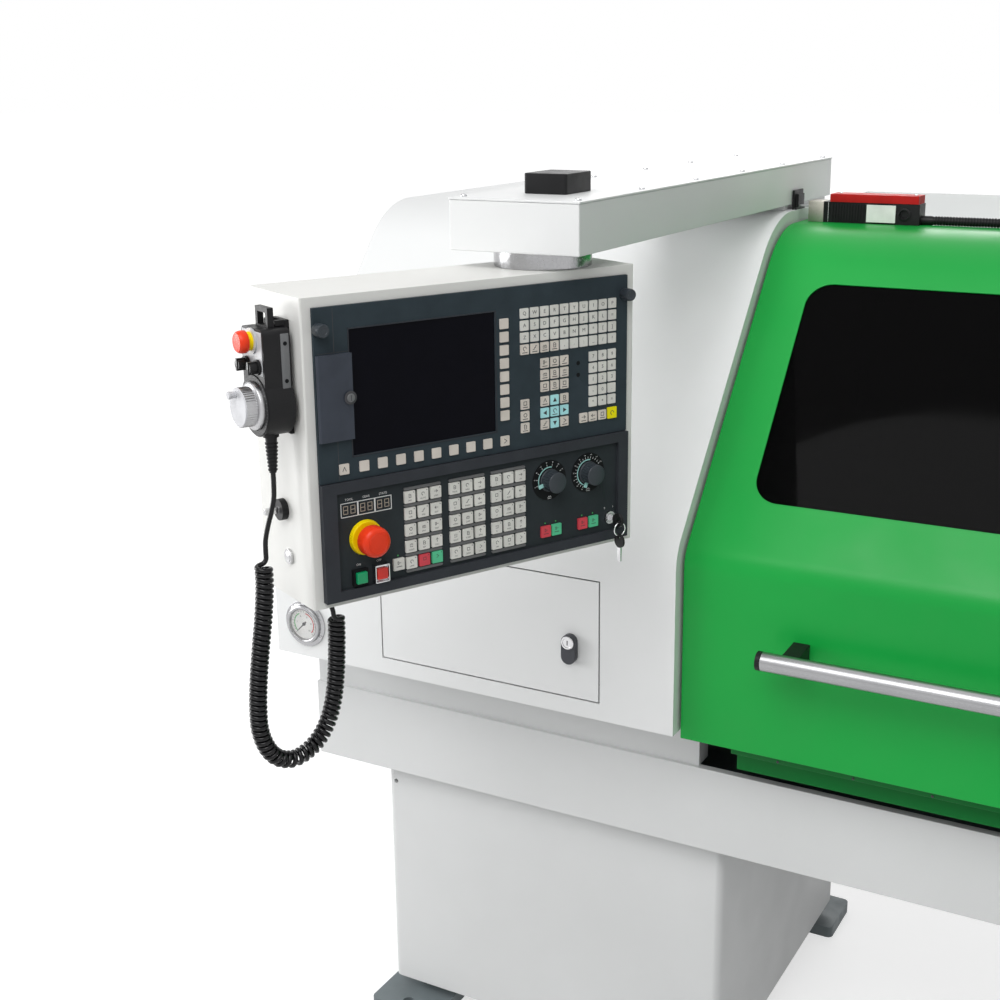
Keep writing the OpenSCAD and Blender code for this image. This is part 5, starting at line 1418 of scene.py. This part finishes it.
        # Dark ring round the lock and dark slot on it: painted shade for the recess and the slot.
        turned(bm, [(8.4, 8.0), (8.4, 8.8), (7.8, 9.1), (5.4, 9.1)], self.frame.front(43, 107), 28, 1)
        strokes(bm, (((0, -3), (0, 3)),), 1.0, 1.0, self.frame.front(43, 107, 10.2), 1, 0.1)
        self.add("flap_lock", bm, ["grey_plastic", "dark_ink_and_painted_shade"], "panel_slate", "media_flap")
        bm = bmesh.new()
        for i in range(8):
            r = 5.2 + 0.33 * i
            rib = [(r - 0.4, -1.2), (r + 0.7, -0.9), (r + 0.7, 0.9), (r - 0.4, 1.2)]
            turned(bm, rib, at(-38, 52, 1372 + 4.8 * i), 24, 0)
        turned(bm, [(7.0, 4), (7.0, 4.6), (5.6, 5.2), (0, 5.2)], at(-14, 66, 1250) @ ALONG.inverted(), 24, 1)
        self.add("side_details", bm, ["black_plastic", "polished_steel"], "black_plastic")

    def build(self) -> None:
        """Prints the panels, makes knobs and buttons and dresses the rest."""
        self.display_print()
        self.control_print()
        for dial in self.dials:
            self.dial(*dial)
        self.stops()
        self.fittings()
        self.shop.dress_all(self.dressed)
        for node, finish, edge, others, rule in (
            ("display_panel", "panel_film", 0.6, ["knob_slate"], self.panel_tone),
            ("display_keys", "key_white", 0.5, ["key_cyan", "key_yellow", "key_cream"], self.display_tone),
            ("control_panel", "panel_film_dark", 0.8, ["rim_film", "ridge_grey", "dial_black", "polished_steel"],
             self.control_tone),
            ("control_keys", "key_white", 0.9, ["key_red", "key_mint"], self.control_key_tone),
            ("switch_key", "polished_steel", 0.4, ["black_plastic"], self.key_tone),
            ("side_fittings", "black_plastic", 0.6, ["polished_steel"], self.side_tone),
        ):
            self.shop.dress(node, finish, edge, others, rule, self.frame.matrix)


@dataclass
class HandUnit(OnPendant):
    """Hand unit with wheel, knobs and stop."""

    middle: float = 52.0
    wheel_z: float = 1456.0
    knob_z: float = 1506.0
    knob_ys: Flat = (36.0, 68.0)
    stop_z: float = 1536.0
    wheel_r: float = 30.0
    dressed: Dressed = (
        ("hand_unit_holder", "black_plastic", 1.0), ("axis_knob", "black_plastic", 0.8),
        ("step_knob", "black_plastic", 0.8),
    )

    def wheel(self) -> None:
        """Makes the wheel: a flange, a knurled drum and the crank."""
        bm = bmesh.new()
        base = self.frame.side(self.middle, self.wheel_z)
        r = self.wheel_r
        turned(bm, [(0, -2.5), (10, -2.5), (10, 0.8), (r, 0.8), (r, 5.4), (r - 0.6, 6.4), (r - 5, 8.4), (r - 6, 8.4)],
               base, 64, 0)
        fluted(bm, [r - 5.8, r - 5.2] * 48, 14.0, base @ at(0, 0, 8.4))
        turned(bm, [(r - 5.4, 22.2), (r - 5.8, 23.2), (r - 6.6, 23.8), (0, 23.8)], base, 64, 1)
        crank = [(3.4, 23.6), (3.4, 24.4), (4.0, 24.8), (5.0, 33), (4.4, 34), (0, 34)]
        turned(bm, crank, base @ at(-4, 16, 0), 24, 1)
        self.add("wheel_made", bm, ["satin_steel", "wheel_face"], "steel", "hand_wheel", ["hand_wheel"])

    def stop(self) -> None:
        """Makes the stop button with a domed top, over its yellow sleeve."""
        base = self.frame.side(self.middle, self.stop_z)
        bm = bmesh.new()
        turned(bm, [(8.6, 2.8), (11.5, 2.8), (11.5, 8.2), (8.6, 8.2)], base, 40, 0)
        self.add("stop_sleeve", bm, ["stop_yellow"], "black_plastic")
        bm = bmesh.new()
        outline = [(0, -1), (8, -1), (8, 13.5), (12.4, 13.5), (12.4, 9), (13.6, 9), (14, 9.6), (14, 15), (13.2, 18.4),
                   (11.4, 20.4), (7.4, 21), (0, 21)]
        turned(bm, outline, base, 40, 0)
        self.add("stop_made", bm, ["stop_red"], "red_plastic", "hand_unit_stop", ["hand_unit_stop"])

    def face(self) -> None:
        """Makes the scale ring, face plate, side strip and the knobs' letters."""
        bm = bmesh.new()
        base = self.frame.side(self.middle, self.wheel_z)
        inner = self.wheel_r + 1.0
        turned(bm, [(inner, -0.2), (inner, 1.4), (37.4, 1.4), (38.2, 0.6), (38.2, -0.2)], base, 64, 1)
        for i in range(50):
            tick(bm, 7.2 * i, (33.2 if i % 5 == 0 else 34.6, 37.0), 0.4, base @ at(0, 0, 1.4), 3)
        part = bmesh.new()
        block(part, (-27, 40, -0.2), (27, 93, 0.7), 0.4, 2, 2)
        absorb(bm, part, base)
        block(bm, (-33, 20.6, 1468), (-22, 22.4, 1546), 0.8, 2, 3)
        for z in (1488, 1534):
            turned(bm, [(2.6, 0), (2.6, 0.4), (0, 0.4)], at(-27.5, 20.6, z) @ FRONT, 16, 4)
        for y, words in zip(self.knob_ys, ("XZ", "15")):
            for side, letter in zip((-7.5, 7.5), words):
                letters(bm, letter, 4.6, self.frame.side(y, self.knob_z, 0.72) @ at(side, 12.0), 0)
        finishes = ["ink_white", "black_plastic", "face_silver", "grey_plastic", "dial_black"]
        self.add("unit_face", bm, finishes, "black_plastic")

    def pointers(self) -> None:
        """Prints the pointer lines on both knobs."""
        for node, y in zip(("axis_knob", "step_knob"), self.knob_ys):
            bm = bmesh.new()
            strokes(bm, (((0, -1), (0, 6.4)),), 1.0, 1.2, self.frame.side(y, self.knob_z, 15.3), 0, 0.15)
            self.add(f"{node}_line", bm, ["ink_white"], "black_plastic", node)

    def unit_tone(self, x: float, y: float, z: float) -> int:
        """Numbers the hand unit: black shell or silver collar."""
        return int(x < -56.1 and math.hypot(y - self.middle, z - self.stop_z) < 17)

    def build(self) -> None:
        """Makes the wheel and face and dresses the rest."""
        self.wheel()
        self.stop()
        self.face()
        self.pointers()
        self.shop.dress_all(self.dressed)
        self.shop.dress("hand_unit", "black_plastic", 2.0, ["face_silver"], self.unit_tone, self.frame.matrix)


def main() -> None:
    """Builds the classes in order."""
    logging.basicConfig(level=logging.INFO, format="%(name)s: %(message)s")
    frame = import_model()
    Studio().build()
    shop = Shop(frame, Stock())
    place = PendantFrame()
    CurlyCord(shop, place).build()
    for made in (Pendant, HandUnit):
        made(shop, place).build()
    for made in (Guards, WorkingParts, Door, Arm):
        made(shop).build()


if __name__ == "__main__":
    main()
